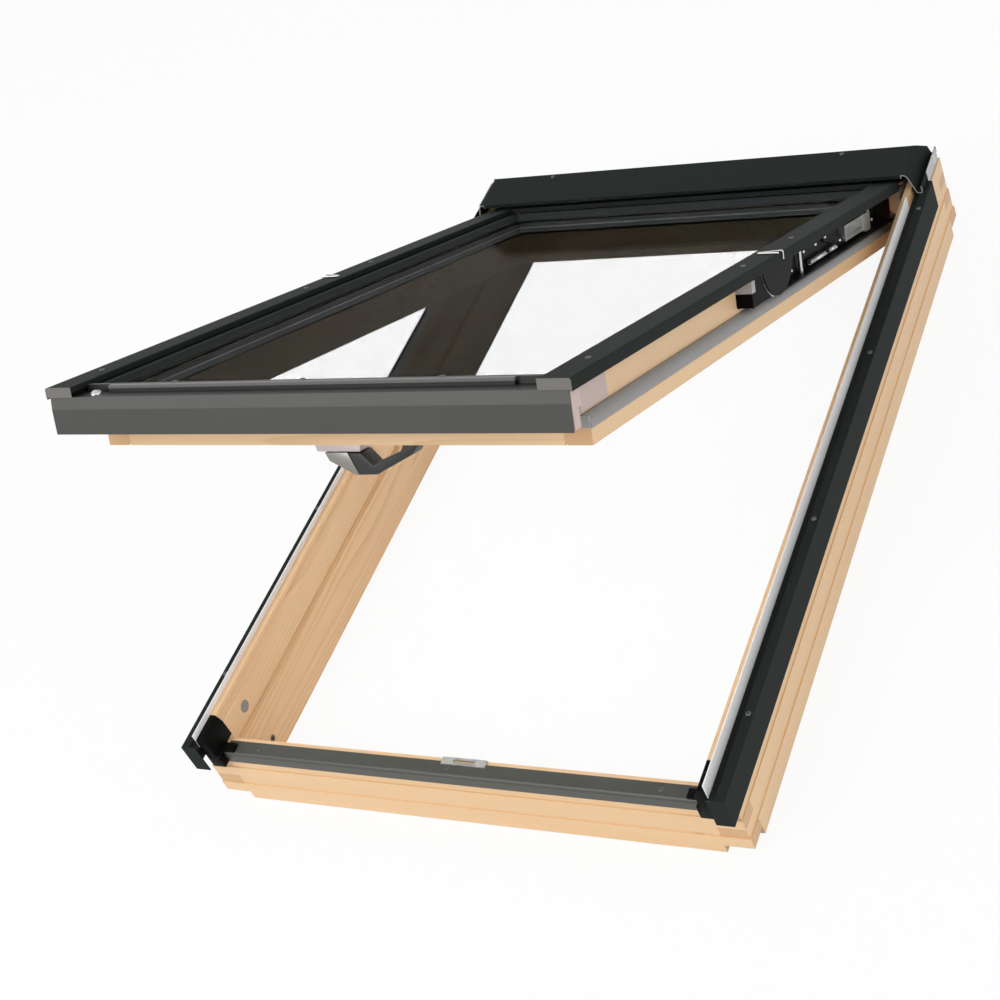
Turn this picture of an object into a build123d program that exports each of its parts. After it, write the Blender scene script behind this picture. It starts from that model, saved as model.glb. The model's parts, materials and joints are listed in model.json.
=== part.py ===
from build123d import *
import os
from math import atan2, cos, degrees, hypot, radians, sin

# Timber roof window, top hung and centre pivoted, shown open.
# X runs across the window, Y up the roof slope, Z out through the roof.
# The underside of the frame lies at Z = 0. Everything is drawn with the lower face of
# the frame at Y = 0, and is stored about the middle of the window's length.
# The moving parts are drawn closed and then turned to the open rest position.

# Frame timber
FRAME_WIDTH = 780.0
FRAME_LENGTH = 1180.0
JAMB_BASE = 44.0
JAMB_BAND = 39.0
JAMB_NECK = 33.0
JAMB_SHOULDER = 23.5
BASE_HEIGHT = 82.0
BAND_START = 88.0
BAND_TOP = 126.0
NECK_START = 132.0
SHOULDER_HEIGHT = 128.0
LIP_HEIGHT = 143.0
RAIL_BASE = 32.0
RAIL_NECK = 26.0
RAIL_STEP = 50.0
TOP_RAIL = 33.0
OUTER_STEP = 1.5
GROOVE_DEPTH = 2.5
CORNER_NOTCH = 14.2
FINGER_HEIGHT = 17.86
FINGER_COUNT = 5
PLUG_RADIUS = 9.0
PLUG_Y = 76.0
BUSHING_RADIUS = 5.5
BUSHING_BORE = 3.0
BUSHING_Y = 80.0
BUSHING_Z = 30.0
INSERT_DEPTH = 6.0

# Sheet metal on the frame
SHEET = 1.5
BEND = 1.8
COVER_TOP = 136.0
COVER_DROP = 48.6
COVER_WIDTH = 13.2
COVER_NOSE = 19.5
COVER_STOP = 70.0
COVER_REVEAL = 1.2
UPSTAND_HEIGHT = 152.0
UPSTAND_START = -11.0
UPSTAND_STOP = 127.0
RAIL_COVER_REACH = 20.0
RAIL_COVER_DROP = 18.0
RAIL_COVER_FRONT = -2.0
RAIL_COVER_BEND = 5.0
CORNER_CLEAR = 1.0
FOOT_REACH = 21.0
FOOT_DEPTH = 14.0
FOOT_HEIGHT = 4.0
STRIKER_X = 20.0
STRIKER_HALF = 32.0
STRIKER_DEPTH = 11.0
FRAME_SCREW_START = 107.0
FRAME_SCREW_STOP = 65.0
FRAME_SCREW_COUNT = 4
RAIL_SCREW_INSET = 52.0
SCREW_RADIUS = 3.2
SCREW_HEIGHT = 1.4
SCREW_SIDES = 12
OVERCUT = 1.0

# Hood over the head of the frame
HOOD_INSET = 25.0
HOOD_TOP = 171.0
HOOD_LIP = 6.0
HOOD_DEPTH = 99.0
HOOD_BACK_SLOPE = 27.0
HOOD_REAR_DROP = 60.0
HOOD_REAR_FALL = 21.0
HOOD_SWEEP = 11.0
HOOD_GUTTER = 6.5
HOOD_EDGE = 148.0
HOOD_BEND = 8.0
BRACKET_HEIGHT = 22.0
BRACKET_FOOT = 13.0
BRACKET_STOP = 8.0
HOOD_SCREW_INSET = 115.0

# Hinge at the head and arc pivot at mid height
HINGE_INSET = 80.0
HINGE_Z = 133.0
HINGE_PIN = 5.0
HINGE_EYE = 10.0
HINGE_EYE_WIDTH = 5.0
HINGE_PLATE_LENGTH = 64.0
PIN_PLAY = 0.05
OPEN_ANGLE = 28.1
ARM_LENGTH = 520.0
PIVOT_Z = 148.5
PIVOT_RADIUS = 58.0
TRACK_RADIUS = 46.0
TRACK_RIB = 4.0
TRACK_DEPTH = 4.5
TRACK_ARC = 14.0
TRACK_START = 33.0
TRACK_PLAY = 0.3
CUP_PLAY = 0.5
CUP_WALL = 2.0
CUP_START = 197.0
CUP_END = 250.0

# Sash timber, closed
SASH_CLEAR = 17.0
SASH_FLANGE = 11.0
STILE_WIDTH = 33.0
SASH_WALL = 9.5
SASH_BOTTOM_Z = 56.0
SASH_LEDGE_Z = 75.0
SASH_SEAT_Z = 104.0
SASH_TOP_Z = 133.0
SASH_FRONT = 31.0
SASH_RAIL = 50.0
SASH_HEAD_GAP = 42.0
SASH_HEAD_RAIL = 76.0
SEAL_HEIGHT = 14.0
SEAL_LIP = 2.0
SEAL_NECK = 3.0
SEAL_BULGE = 1.5
EDGE_CHAMFER = 3.0

# Glazing
PANE = 4.0
PANE_GAP = 16.0
GLASS_MARGIN = 2.5
GLASS_FRONT = -6.0
GLASS_START = 5.0
GLASS_OVERLAP = 14.0
SPACER_INSET = 5.0
SPACER_WIDTH = 9.0

# Sash metalwork, closed
SASH_COVER_GAP = 17.5
SASH_COVER_TOP = 147.0
SASH_COVER_WIDTH = 39.0
SASH_COVER_DROP = 14.0
SASH_COVER_TURN = 7.0
SASH_COVER_FRONT = -37.3
SASH_COVER_BEND = 3.0
COVER_SPLIT = 1.5
HEAD_COVER_PLAY = 0.5
CLIP_WIRE = 1.3
CLIP_DROP = 10.0
CLIP_TIP = 4.0
CLIP_BACK = 6.0
CLIP_SPREAD = 13.0
CLIP_LEAN = 2.0
BEAD_FRONT = 14.0
BEAD_WIDTH = 15.0
BEAD_GAP = 0.8
BEAD_HEIGHT = 8.5
RIB_RADIUS = 2.5
APRON_INSET = 4.4
APRON_BOTTOM = 89.8
APRON_CREASE = 120.0
APRON_TOP = 134.9
APRON_LEAN = 1.8
APRON_WALL = 2.0
APRON_BEND = 0.4
APRON_SHELF = -8.5
APRON_SHELF_Z = 122.0
APRON_TAIL = 12.0
BAR_DEPTH = 5.5
BAR_HEIGHT = 8.0
BAR_EDGE = 1.0
BAR_INSET = 38.0
BAR_SCREW_INSET = 92.0
EDGE_SEAL_REACH = 12.0
EDGE_SEAL_LIP = 3.0
END_PLATE_BACK = 98.0
END_PLATE_LOW = 91.0
END_PLATE_NOTCH = 112.0
END_PLATE_BEND_Y = -12.0
END_PLATE_BEND = 6.0
END_PLATE_NOTCH_Y = -19.0
DRAIN_SCREW_INSET = 25.0
DRAIN_SCREW_BACK = 13.5
DRAIN_SCREW_RADIUS = 7.5
DRAIN_SCREW_HEIGHT = 5.0
DRAIN_SLOT = 1.6
SASH_SCREW_START = 45.0
SASH_SCREW_STOP = 90.0

# Side arms
ARM_CLEAR = 2.0
ARM_WIDTH = 20.0
ARM_LOW = 92.0
ARM_HIGH = 131.0
ARM_PLATE = 2.5
ARM_START = 12.0
POCKET_DEPTH = 4.5
POCKET_LENGTH = 98.0
POCKET_LOW = 93.0
POCKET_HIGH = 128.0
POCKET_CORNER = 6.0
POCKET_PLAY = 1.0
RIB_PLATE_START = 8.0
STUD = 3.2
SPRING_RIB = 1.4
SPRING_PITCH = 5.0
SPRING_PLAY = 0.3
SPRING_SIDES = 8
ARM_LINKS = (((132.0, 27.0), (180.0, 27.0)), ((220.0, 29.0), (280.0, 12.0)))
ARM_SPRINGS = ((145.0, 210.0, 9.0), (223.0, 253.0, 9.0))
ARM_RIVETS = ((75.0, 26.0), (88.0, 10.0), (420.0, 28.0), (436.0, 11.0))
ARM_STUD = 113.0
LINK_RADIUS = 6.0
LINK_THICKNESS = 3.0
SLIDER_START = 290.0
SLIDER_LENGTH = 80.0
SLIDER_LOW = 8.0
SLIDER_HEIGHT = 22.0
SLIDER_WALL = 4.0
SLIDER_DEPTH = 9.0
SLIDER_BLOCK = 22.0

# Handle
HANDLE_X = -11.0
HANDLE_HALF = 33.0
HANDLE_TAPER = 3.0
HANDLE_Y = 67.0
HANDLE_DEPTH = 26.0
HANDLE_HEIGHT = 15.0
HANDLE_EDGE = 2.0
LEVER_OFFSET = -8.0
LEVER_GAP = 0.4
LEVER_BOSS = 9.0
LEVER_BOSS_DEPTH = 4.0
LEVER_MARGIN = 1.0
LEVER_FACE = ((-12.0, 1.0), (-7.0, 11.0), (27.0, 27.8), (31.0, 28.0), (19.0, 1.0))
GRIP_FACE = (
    (19.2, 1.0), (31.2, 28.0), (55.0, 27.4), (106.4, 3.4), (113.4, -6.0), (111.4, -9.5), (95.3, -8.3),
    (91.0, 0.0), (51.0, 15.5), (38.0, 1.0),
)

HALF_WIDTH = FRAME_WIDTH / 2
COVER_OUTER = HALF_WIDTH + COVER_REVEAL
COVER_INNER_TOP = COVER_OUTER - COVER_WIDTH
LIP_OUTER = HALF_WIDTH - JAMB_SHOULDER
NECK_X = HALF_WIDTH - JAMB_NECK
BAND_X = HALF_WIDTH - JAMB_BAND
BASE_X = HALF_WIDTH - JAMB_BASE
FINGER_TOP = CORNER_NOTCH + FINGER_COUNT * FINGER_HEIGHT
RAIL_COVER_TOP = FINGER_TOP + SHEET
COVER_END = FRAME_LENGTH - COVER_STOP
UPSTAND_END = FRAME_LENGTH - UPSTAND_STOP
HOOD_HALF = HALF_WIDTH - HOOD_INSET
HOOD_FRONT = FRAME_LENGTH - HOOD_DEPTH
HOOD_CREST = FRAME_LENGTH - HOOD_BACK_SLOPE
BRACKET_END = FRAME_LENGTH - BRACKET_STOP
HINGE_Y = FRAME_LENGTH - HINGE_INSET
PIVOT_Y = HINGE_Y - ARM_LENGTH
SASH_HALF = BASE_X - SASH_CLEAR
SASH_SIDE = SASH_HALF - SASH_FLANGE
SASH_INNER = SASH_HALF - STILE_WIDTH
SASH_HEAD = FRAME_LENGTH - SASH_HEAD_GAP
SASH_COVER_HALF = LIP_OUTER - SASH_COVER_GAP
APRON_HALF = SASH_COVER_HALF - APRON_INSET
ARM_INNER = SASH_SIDE + ARM_CLEAR
POCKET_START = PIVOT_Y - POCKET_LENGTH
GLASS_TOP_Z = SASH_SEAT_Z + 2 * PANE + PANE_GAP
GLASS_HALF = SASH_SIDE - SASH_WALL - GLASS_MARGIN
GLASS_INNER_FRONT = SASH_FRONT + GLASS_START
GLASS_HEAD = SASH_HEAD - SASH_HEAD_RAIL + GLASS_OVERLAP
HEAD_RAIL_Y = SASH_HEAD - SASH_HEAD_RAIL
SASH_COVER_INNER = SASH_COVER_HALF - SASH_COVER_WIDTH
BEAD_OUTER = SASH_SIDE - SASH_WALL
BEAD_INNER = BEAD_OUTER - BEAD_WIDTH
TOP_BEAD_END = HEAD_RAIL_Y + BEAD_WIDTH - RIB_RADIUS
BAR_HALF = SASH_COVER_INNER - BAR_INSET
ARM_OUTER = ARM_INNER + ARM_WIDTH
CENTRE_Y = (FRAME_LENGTH - COVER_NOSE) / 2

HINGE_AXIS = Axis((0, HINGE_Y, HINGE_Z), (-1, 0, 0))
parts = {}


# Drawing helpers
def outline(*points):
    return make_face(Polyline(*points, close=True))


def along_y(face, start, end):
    """Profile drawn in X and Z, drawn out from start to end along Y."""
    return extrude(Plane.XZ.offset(-start) * face, end - start, dir=(0, 1, 0))


def along_x(face, start, end):
    """Profile drawn in Y and Z, drawn out from start to end along X."""
    return extrude(Plane.YZ.offset(start) * face, end - start, dir=(1, 0, 0))


def along_z(face, start, end):
    """Profile drawn in X and Y, drawn out from start to end along Z."""
    return extrude(Plane.XY.offset(start) * face, end - start, dir=(0, 0, 1))


def sheet(points, radius, side=Side.RIGHT, thickness=SHEET):
    """A bent strip: the points give one face of it, the side says where the metal lies."""
    line = FilletPolyline(*points, radius=radius)
    return Face(line.offset_2d(thickness, side=side, closed=True))


def block(x0, x1, y0, y1, z0, z1):
    return Pos((x0 + x1) / 2, (y0 + y1) / 2, (z0 + z1) / 2) * Box(x1 - x0, y1 - y0, z1 - z0)


def rod_x(x0, x1, y, z, radius):
    return Pos((x0 + x1) / 2, y, z) * Rot(0, 90, 0) * Cylinder(radius, x1 - x0)


def rod_z(x, y, z0, z1, radius):
    return Pos(x, y, (z0 + z1) / 2) * Cylinder(radius, z1 - z0)


def pan_head(x, y, z):
    """Low screw head sitting on a face that looks along Z."""
    return along_z(Pos(x, y) * RegularPolygon(SCREW_RADIUS, SCREW_SIDES), z, z + SCREW_HEIGHT)


def evenly(start, end, count):
    return [start + (end - start) * index / (count - 1) for index in range(count)]


def centred(shape):
    """From the lower face of the frame to the middle of the window's length."""
    return Pos(0, -CENTRE_Y, 0) * shape


def add(name, shape):
    parts[name] = centred(shape)


def add_group(name, shapes):
    """Several separate pieces of one kind, kept as separate solids."""
    parts[name] = Compound(children=[centred(solid) for shape in shapes for solid in shape.solids()])


def add_open_group(name, shapes):
    add_group(name, [opened(shape) for shape in shapes])


def add_pair(name, shape):
    """The right-hand piece as drawn, and its mirror image on the left."""
    add(name + "_right", shape)
    add(name + "_left", mirror(shape, about=Plane.YZ))


def both_sides(shapes):
    return list(shapes) + [mirror(shape, about=Plane.YZ) for shape in shapes]


def opened(shape):
    return shape.rotate(HINGE_AXIS, OPEN_ANGLE)


def add_open(name, shape):
    add(name, opened(shape))


def add_open_pair(name, shape):
    add_pair(name, opened(shape))


# Frame timber: four pine members, finger jointed at the corners
def outer_envelope():
    """The stepped outer faces that run round all four members."""
    first = CORNER_NOTCH + FINGER_HEIGHT
    second = first + 2 * FINGER_HEIGHT
    levels = [(0, first, 0), (first, second, OUTER_STEP), (second, LIP_HEIGHT, 2 * OUTER_STEP)]
    layers = [
        block(-HALF_WIDTH + inset, HALF_WIDTH - inset, inset, FRAME_LENGTH - inset, low, high)
        for low, high, inset in levels
    ]
    return layers[0] + layers[1] + layers[2]


def rail_fingers(y0, y1):
    """The layers of a right-hand corner that belong to the rail."""
    fingers = []
    for index in range(0, FINGER_COUNT, 2):
        low = CORNER_NOTCH + index * FINGER_HEIGHT
        fingers.append(block(BAND_X, HALF_WIDTH, y0, y1, low, low + FINGER_HEIGHT))
    return fingers


def frame_jamb(envelope):
    profile = outline(
        (BASE_X, 0), (HALF_WIDTH, 0), (HALF_WIDTH, SHOULDER_HEIGHT), (LIP_OUTER, SHOULDER_HEIGHT),
        (LIP_OUTER, LIP_HEIGHT), (NECK_X, LIP_HEIGHT), (NECK_X, NECK_START + 2 * GROOVE_DEPTH),
        (NECK_X + GROOVE_DEPTH, NECK_START + GROOVE_DEPTH), (NECK_X, NECK_START),
        (BAND_X, BAND_TOP), (BAND_X, BAND_START),
        (BAND_X + GROOVE_DEPTH, (BAND_START + BASE_HEIGHT) / 2), (BASE_X, BASE_HEIGHT),
    )
    jamb = along_y(profile, 0, FRAME_LENGTH) & envelope
    ends = ((0, RAIL_BASE, FINGER_TOP), (FRAME_LENGTH - TOP_RAIL, FRAME_LENGTH, LIP_HEIGHT))
    for y0, y1, rail_height in ends:
        jamb -= block(BASE_X, BAND_X, y0, y1, 0, rail_height)
        jamb -= block(BAND_X, HALF_WIDTH, y0, y1, 0, CORNER_NOTCH)
        for finger in rail_fingers(y0, y1):
            jamb -= finger
    jamb -= block(BASE_X, LIP_OUTER, 0, RAIL_BASE, FINGER_TOP, LIP_HEIGHT)
    jamb -= rod_x(BAND_X - OVERCUT, BAND_X + INSERT_DEPTH, PLUG_Y, (BAND_START + BAND_TOP) / 2, PLUG_RADIUS)
    jamb -= rod_x(BASE_X - OVERCUT, BASE_X + INSERT_DEPTH, BUSHING_Y, BUSHING_Z, BUSHING_RADIUS)
    return jamb


def frame_rail(profile, envelope, y0, y1):
    rail = along_x(profile, -BAND_X, BAND_X) & envelope
    for finger in rail_fingers(y0, y1):
        stepped = finger & envelope
        rail = rail + stepped + mirror(stepped, about=Plane.YZ)
    return rail


def build_frame_timber():
    envelope = outer_envelope()
    add_pair("frame_jamb", frame_jamb(envelope))
    bottom = outline(
        (0, 0), (RAIL_BASE, 0), (RAIL_BASE, RAIL_STEP), (RAIL_NECK, RAIL_STEP + GROOVE_DEPTH),
        (RAIL_NECK, FINGER_TOP), (0, FINGER_TOP),
    )
    add("frame_bottom_rail", frame_rail(bottom, envelope, 0, RAIL_BASE))
    inner = FRAME_LENGTH - TOP_RAIL
    top = outline(
        (inner, 0), (FRAME_LENGTH, 0), (FRAME_LENGTH, SHOULDER_HEIGHT), (inner, SHOULDER_HEIGHT),
        (inner, RAIL_STEP), (inner + GROOVE_DEPTH, RAIL_STEP - GROOVE_DEPTH),
        (inner, RAIL_STEP - 2 * GROOVE_DEPTH),
    )
    add("frame_top_rail", frame_rail(top, envelope, inner, FRAME_LENGTH))


def jamb_inserts():
    """Grey cover plugs in the upper band and flanged bushings in the base of both jambs."""
    plug_z = (BAND_START + BAND_TOP) / 2
    plug = rod_x(BAND_X, BAND_X + INSERT_DEPTH, PLUG_Y, plug_z, PLUG_RADIUS)
    bushing = rod_x(BASE_X, BASE_X + INSERT_DEPTH, BUSHING_Y, BUSHING_Z, BUSHING_RADIUS)
    bushing -= rod_x(
        BASE_X - OVERCUT, BASE_X + INSERT_DEPTH + OVERCUT, BUSHING_Y, BUSHING_Z, BUSHING_BORE
    )
    add_group("jamb_plugs", both_sides([plug]))
    add_group("jamb_bushings", both_sides([bushing]))


# Frame metalwork
def side_cover():
    """Folded cover on the jamb: gutter floor, narrow top, outer flange and a closed nose."""
    line = [
        (LIP_OUTER + SHEET, SHOULDER_HEIGHT + SHEET), (COVER_INNER_TOP, SHOULDER_HEIGHT + SHEET),
        (COVER_INNER_TOP, COVER_TOP), (COVER_OUTER, COVER_TOP), (COVER_OUTER, COVER_TOP - COVER_DROP),
    ]
    strip = along_y(sheet(line, BEND), -COVER_NOSE, COVER_END)
    nose = block(
        LIP_OUTER + SHEET, COVER_OUTER, -COVER_NOSE, SHEET - COVER_NOSE, COVER_TOP - COVER_DROP, COVER_TOP
    )
    outer_edge = nose.edges().filter_by(Axis.Y).sort_by(Axis.Z)[-2:].sort_by(Axis.X)[-1]
    return strip + fillet(outer_edge, BEND)


def upstand():
    """Pale rail standing on the shoulder, against the raised lip of the jamb."""
    return block(
        LIP_OUTER, LIP_OUTER + SHEET, UPSTAND_START, UPSTAND_END, SHOULDER_HEIGHT, UPSTAND_HEIGHT
    )


def corner_block():
    """Black moulded piece that closes the foot of the jamb beside the bottom rail."""
    cheek = outline(
        (BAND_X, FINGER_TOP), (LIP_OUTER, FINGER_TOP), (LIP_OUTER, LIP_HEIGHT), (NECK_X, LIP_HEIGHT),
        (BAND_X, LIP_HEIGHT - (NECK_X - BAND_X) * 2),
    )
    front = UPSTAND_START - CORNER_CLEAR
    tall = along_y(cheek, front, RAIL_BASE)
    chin = block(BASE_X, LIP_OUTER, front, 0, RAIL_COVER_TOP - RAIL_COVER_DROP, FINGER_TOP)
    foot = block(
        BAND_X - FOOT_REACH, BAND_X, 0, FOOT_DEPTH, RAIL_COVER_TOP, RAIL_COVER_TOP + FOOT_HEIGHT
    )
    step = block(BASE_X, BAND_X, front, FOOT_DEPTH, RAIL_COVER_TOP, RAIL_COVER_TOP + FOOT_HEIGHT)
    return tall + chin + step + foot


def rail_cover():
    """Folded cover over the bottom rail, with a rounded crease between its top and front."""
    line = [
        (RAIL_COVER_FRONT, RAIL_COVER_TOP - RAIL_COVER_DROP), (RAIL_COVER_FRONT, RAIL_COVER_TOP),
        (RAIL_COVER_REACH, RAIL_COVER_TOP),
    ]
    half = BASE_X - CORNER_CLEAR
    return along_x(sheet(line, RAIL_COVER_BEND), -half, half)


def striker():
    """Light steel keeper plate with a slot, behind the cover of the bottom rail."""
    back = RAIL_NECK
    plate = block(
        STRIKER_X - STRIKER_HALF, STRIKER_X + STRIKER_HALF, back - STRIKER_DEPTH, back,
        RAIL_COVER_TOP, RAIL_COVER_TOP + SHEET,
    )
    slot = Pos(STRIKER_X, back - STRIKER_DEPTH / 2, RAIL_COVER_TOP) * SlotOverall(
        STRIKER_HALF, STRIKER_DEPTH / 3
    )
    lip = block(
        STRIKER_X - STRIKER_HALF, STRIKER_X + STRIKER_HALF, RAIL_COVER_REACH, back,
        FINGER_TOP, RAIL_COVER_TOP,
    )
    return plate + lip - extrude(slot, 2 * SHEET, both=True)


def hood():
    """Folded hood: flat crown, swept sides that end in a gutter, front lip and sloped back."""
    foot = COVER_TOP + SHEET
    gutter_in = HOOD_HALF + HOOD_SWEEP
    gutter_out = gutter_in + HOOD_GUTTER
    right = [(HOOD_HALF, HOOD_TOP), (gutter_in, foot), (gutter_out, foot), (gutter_out, HOOD_EDGE)]
    left = [(-x, z) for x, z in reversed(right)]
    radii = [BEND, BEND, HOOD_BEND, HOOD_BEND, BEND, BEND]
    back = FRAME_LENGTH - 2 * OUTER_STEP + SHEET
    crown = along_y(sheet(left + right, radii), HOOD_FRONT, back)
    wedge = along_x(outline(
        (HOOD_CREST, HOOD_TOP + SHEET), (HOOD_CREST, HOOD_TOP), (back, HOOD_TOP - HOOD_REAR_FALL),
        (back + SHEET, HOOD_TOP + SHEET),
    ), -HALF_WIDTH, HALF_WIDTH)
    lip = along_x(outline(
        (HOOD_FRONT, HOOD_TOP), (HOOD_FRONT, HOOD_TOP - HOOD_LIP), (HOOD_FRONT + SHEET, HOOD_TOP - HOOD_LIP),
        (HOOD_FRONT + SHEET, HOOD_TOP),
    ), HOOD_BEND - HOOD_HALF, HOOD_HALF - HOOD_BEND)
    tail = along_x(sheet([
        (HOOD_CREST, HOOD_TOP), (back, HOOD_TOP - HOOD_REAR_FALL), (back, HOOD_TOP - HOOD_REAR_DROP),
    ], BEND), -HOOD_HALF, HOOD_HALF)
    return crown - wedge + lip + tail


def hood_bracket():
    """Light galvanised angle on the jamb shoulder that carries the end of the hood."""
    inner = HOOD_HALF + HOOD_SWEEP + HOOD_GUTTER + SHEET
    foot_top = SHOULDER_HEIGHT + SHEET
    web = block(
        inner, inner + SHEET, COVER_END + CORNER_CLEAR, BRACKET_END,
        SHOULDER_HEIGHT, SHOULDER_HEIGHT + BRACKET_HEIGHT,
    )
    foot = block(
        inner - BRACKET_FOOT, inner, COVER_END + CORNER_CLEAR, BRACKET_END, SHOULDER_HEIGHT, foot_top
    )
    return web + foot


def hinge_bracket():
    """Steel plate on the jamb with the pin on which the side arm swings."""
    plate = block(
        BAND_X - SHEET, BAND_X, HINGE_Y - HINGE_PLATE_LENGTH / 2, HINGE_Y + HINGE_PLATE_LENGTH / 2,
        ARM_LOW, HINGE_Z + HINGE_EYE,
    )
    plate = fillet(plate.edges().filter_by(Axis.X), HINGE_PIN)
    return plate + rod_x(ARM_INNER - OVERCUT, BAND_X - SHEET, HINGE_Y, HINGE_Z, HINGE_PIN)


def frame_screws():
    side_y = evenly(FRAME_SCREW_START, COVER_END - FRAME_SCREW_STOP, FRAME_SCREW_COUNT)
    rail_x = evenly(RAIL_SCREW_INSET - BASE_X, BASE_X - RAIL_SCREW_INSET, 3)
    hood_x = HOOD_HALF - HOOD_SCREW_INSET
    hood_y = HOOD_CREST - 2 * SCREW_RADIUS
    heads = both_sides([pan_head(COVER_OUTER - COVER_WIDTH / 2, y, COVER_TOP) for y in side_y])
    heads += [pan_head(x, RAIL_COVER_REACH / 2, RAIL_COVER_TOP) for x in rail_x]
    heads += both_sides([pan_head(hood_x, hood_y, HOOD_TOP)])
    return heads


def build_frame_metal():
    add_pair("frame_side_cover", side_cover())
    add_pair("frame_upstand", upstand())
    add_pair("corner_block", corner_block())
    add("frame_rail_cover", rail_cover())
    add("striker_plate", striker())
    add("hood", hood())
    add_group("hood_brackets", both_sides([hood_bracket()]))
    add_pair("hinge_bracket", hinge_bracket())
    add_group("frame_screws", frame_screws())


# Sash timber
def sash_stile():
    """Pine stile: flange below, side face, thin wall outside the glass and a routed pocket."""
    profile = outline(
        (SASH_INNER + EDGE_CHAMFER, SASH_BOTTOM_Z), (SASH_HALF, SASH_BOTTOM_Z), (SASH_HALF, SASH_LEDGE_Z),
        (SASH_SIDE, SASH_LEDGE_Z), (SASH_SIDE, SASH_TOP_Z), (SASH_SIDE - SASH_WALL, SASH_TOP_Z),
        (SASH_SIDE - SASH_WALL, SASH_SEAT_Z), (SASH_INNER, SASH_SEAT_Z),
        (SASH_INNER, SASH_BOTTOM_Z + EDGE_CHAMFER),
    )
    stile = along_y(profile, SASH_FRONT, SASH_HEAD)
    pocket = block(
        SASH_SIDE - POCKET_DEPTH, SASH_SIDE + OVERCUT, POCKET_START, SASH_HEAD + OVERCUT,
        POCKET_LOW, POCKET_HIGH,
    )
    corners = pocket.edges().filter_by(Axis.X).sort_by(Axis.Y)[:2]
    return stile - fillet(corners, POCKET_CORNER)


def sash_bottom_rail():
    back = SASH_FRONT + SASH_RAIL
    return along_x(outline(
        (SASH_FRONT, SASH_BOTTOM_Z), (back - EDGE_CHAMFER, SASH_BOTTOM_Z),
        (back, SASH_BOTTOM_Z + EDGE_CHAMFER), (back, SASH_SEAT_Z), (SASH_FRONT, SASH_SEAT_Z),
    ), -SASH_INNER, SASH_INNER)


def sash_head_rail():
    wall = GLASS_HEAD + GLASS_MARGIN
    return along_x(outline(
        (HEAD_RAIL_Y + EDGE_CHAMFER, SASH_BOTTOM_Z), (SASH_HEAD, SASH_BOTTOM_Z), (SASH_HEAD, SASH_TOP_Z),
        (wall, SASH_TOP_Z), (wall, SASH_SEAT_Z), (HEAD_RAIL_Y, SASH_SEAT_Z),
        (HEAD_RAIL_Y, SASH_BOTTOM_Z + EDGE_CHAMFER),
    ), -SASH_INNER, SASH_INNER)


def side_seal():
    """Grey bulb seal lying on the flange of the stile."""
    top = SASH_LEDGE_Z + SEAL_HEIGHT
    tip = SASH_HALF + SEAL_LIP
    neck = SASH_SIDE + SEAL_NECK
    middle = ((neck + tip) / 2 + SEAL_BULGE, SASH_LEDGE_Z + SEAL_HEIGHT / 2 + SEAL_BULGE)
    body = make_face(Polyline((SASH_SIDE, top), (SASH_SIDE, SASH_LEDGE_Z), (tip, SASH_LEDGE_Z)) + [
        ThreePointArc((tip, SASH_LEDGE_Z), middle, (neck, top)),
        Line((neck, top), (SASH_SIDE, top)),
    ])
    return along_y(body, SASH_FRONT, SASH_HEAD)


def front_seal():
    return block(
        -SASH_HALF, SASH_HALF, SASH_FRONT - SEAL_NECK, SASH_FRONT,
        SASH_LEDGE_Z + SEAL_LIP, SASH_LEDGE_Z + SEAL_HEIGHT,
    )


def build_sash_timber():
    add_open_pair("sash_stile", sash_stile())
    add_open("sash_bottom_rail", sash_bottom_rail())
    add_open("sash_head_rail", sash_head_rail())
    add_open_pair("sash_seal", side_seal())
    add_open("sash_front_seal", front_seal())


# Glazing: two panes on a spacer frame, the outer one running out over the bottom rail
def build_glazing():
    inner_top = SASH_SEAT_Z + PANE
    outer_low = inner_top + PANE_GAP
    inner = block(-GLASS_HALF, GLASS_HALF, GLASS_INNER_FRONT, GLASS_HEAD, SASH_SEAT_Z, inner_top)
    outer = block(-GLASS_HALF, GLASS_HALF, GLASS_FRONT, GLASS_HEAD, outer_low, GLASS_TOP_Z)
    half = GLASS_HALF - SPACER_INSET
    low = GLASS_INNER_FRONT + SPACER_INSET
    high = GLASS_HEAD - SPACER_INSET
    spacer = block(-half, half, low, high, inner_top, outer_low) - block(
        SPACER_WIDTH - half, half - SPACER_WIDTH, low + SPACER_WIDTH, high - SPACER_WIDTH,
        inner_top - OVERCUT, outer_low + OVERCUT,
    )
    add_open("inner_pane", inner)
    add_open("outer_pane", outer)
    add_open("spacer_frame", spacer)


# Metalwork that moves with the sash
def bead_profile(outer, inner):
    """Glazing bead seen on end: flat base on the glass and two round ribs."""
    base = GLASS_TOP_Z
    top = base + BEAD_HEIGHT
    body = outline(
        (inner, base), (outer, base), (outer, top), (inner + EDGE_CHAMFER, top),
        (inner, base + EDGE_CHAMFER),
    )
    sign = 1 if outer > inner else -1
    for offset in (RIB_RADIUS, 3 * RIB_RADIUS + BEAD_GAP):
        body += Pos(outer - sign * offset, top) * Circle(RIB_RADIUS)
    return body


def side_bead():
    return along_y(bead_profile(BEAD_OUTER, BEAD_INNER), BEAD_FRONT, TOP_BEAD_END)


def top_bead():
    return along_x(bead_profile(TOP_BEAD_END, TOP_BEAD_END - BEAD_WIDTH), -BEAD_INNER, BEAD_INNER)


def sash_cover_profile():
    top = SASH_COVER_TOP
    line = [
        (SASH_COVER_INNER, top - SASH_COVER_TURN), (SASH_COVER_INNER, top), (SASH_COVER_HALF, top),
        (SASH_COVER_HALF, top - SASH_COVER_DROP),
    ]
    return sheet(line, [BEND, SASH_COVER_BEND])


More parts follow.
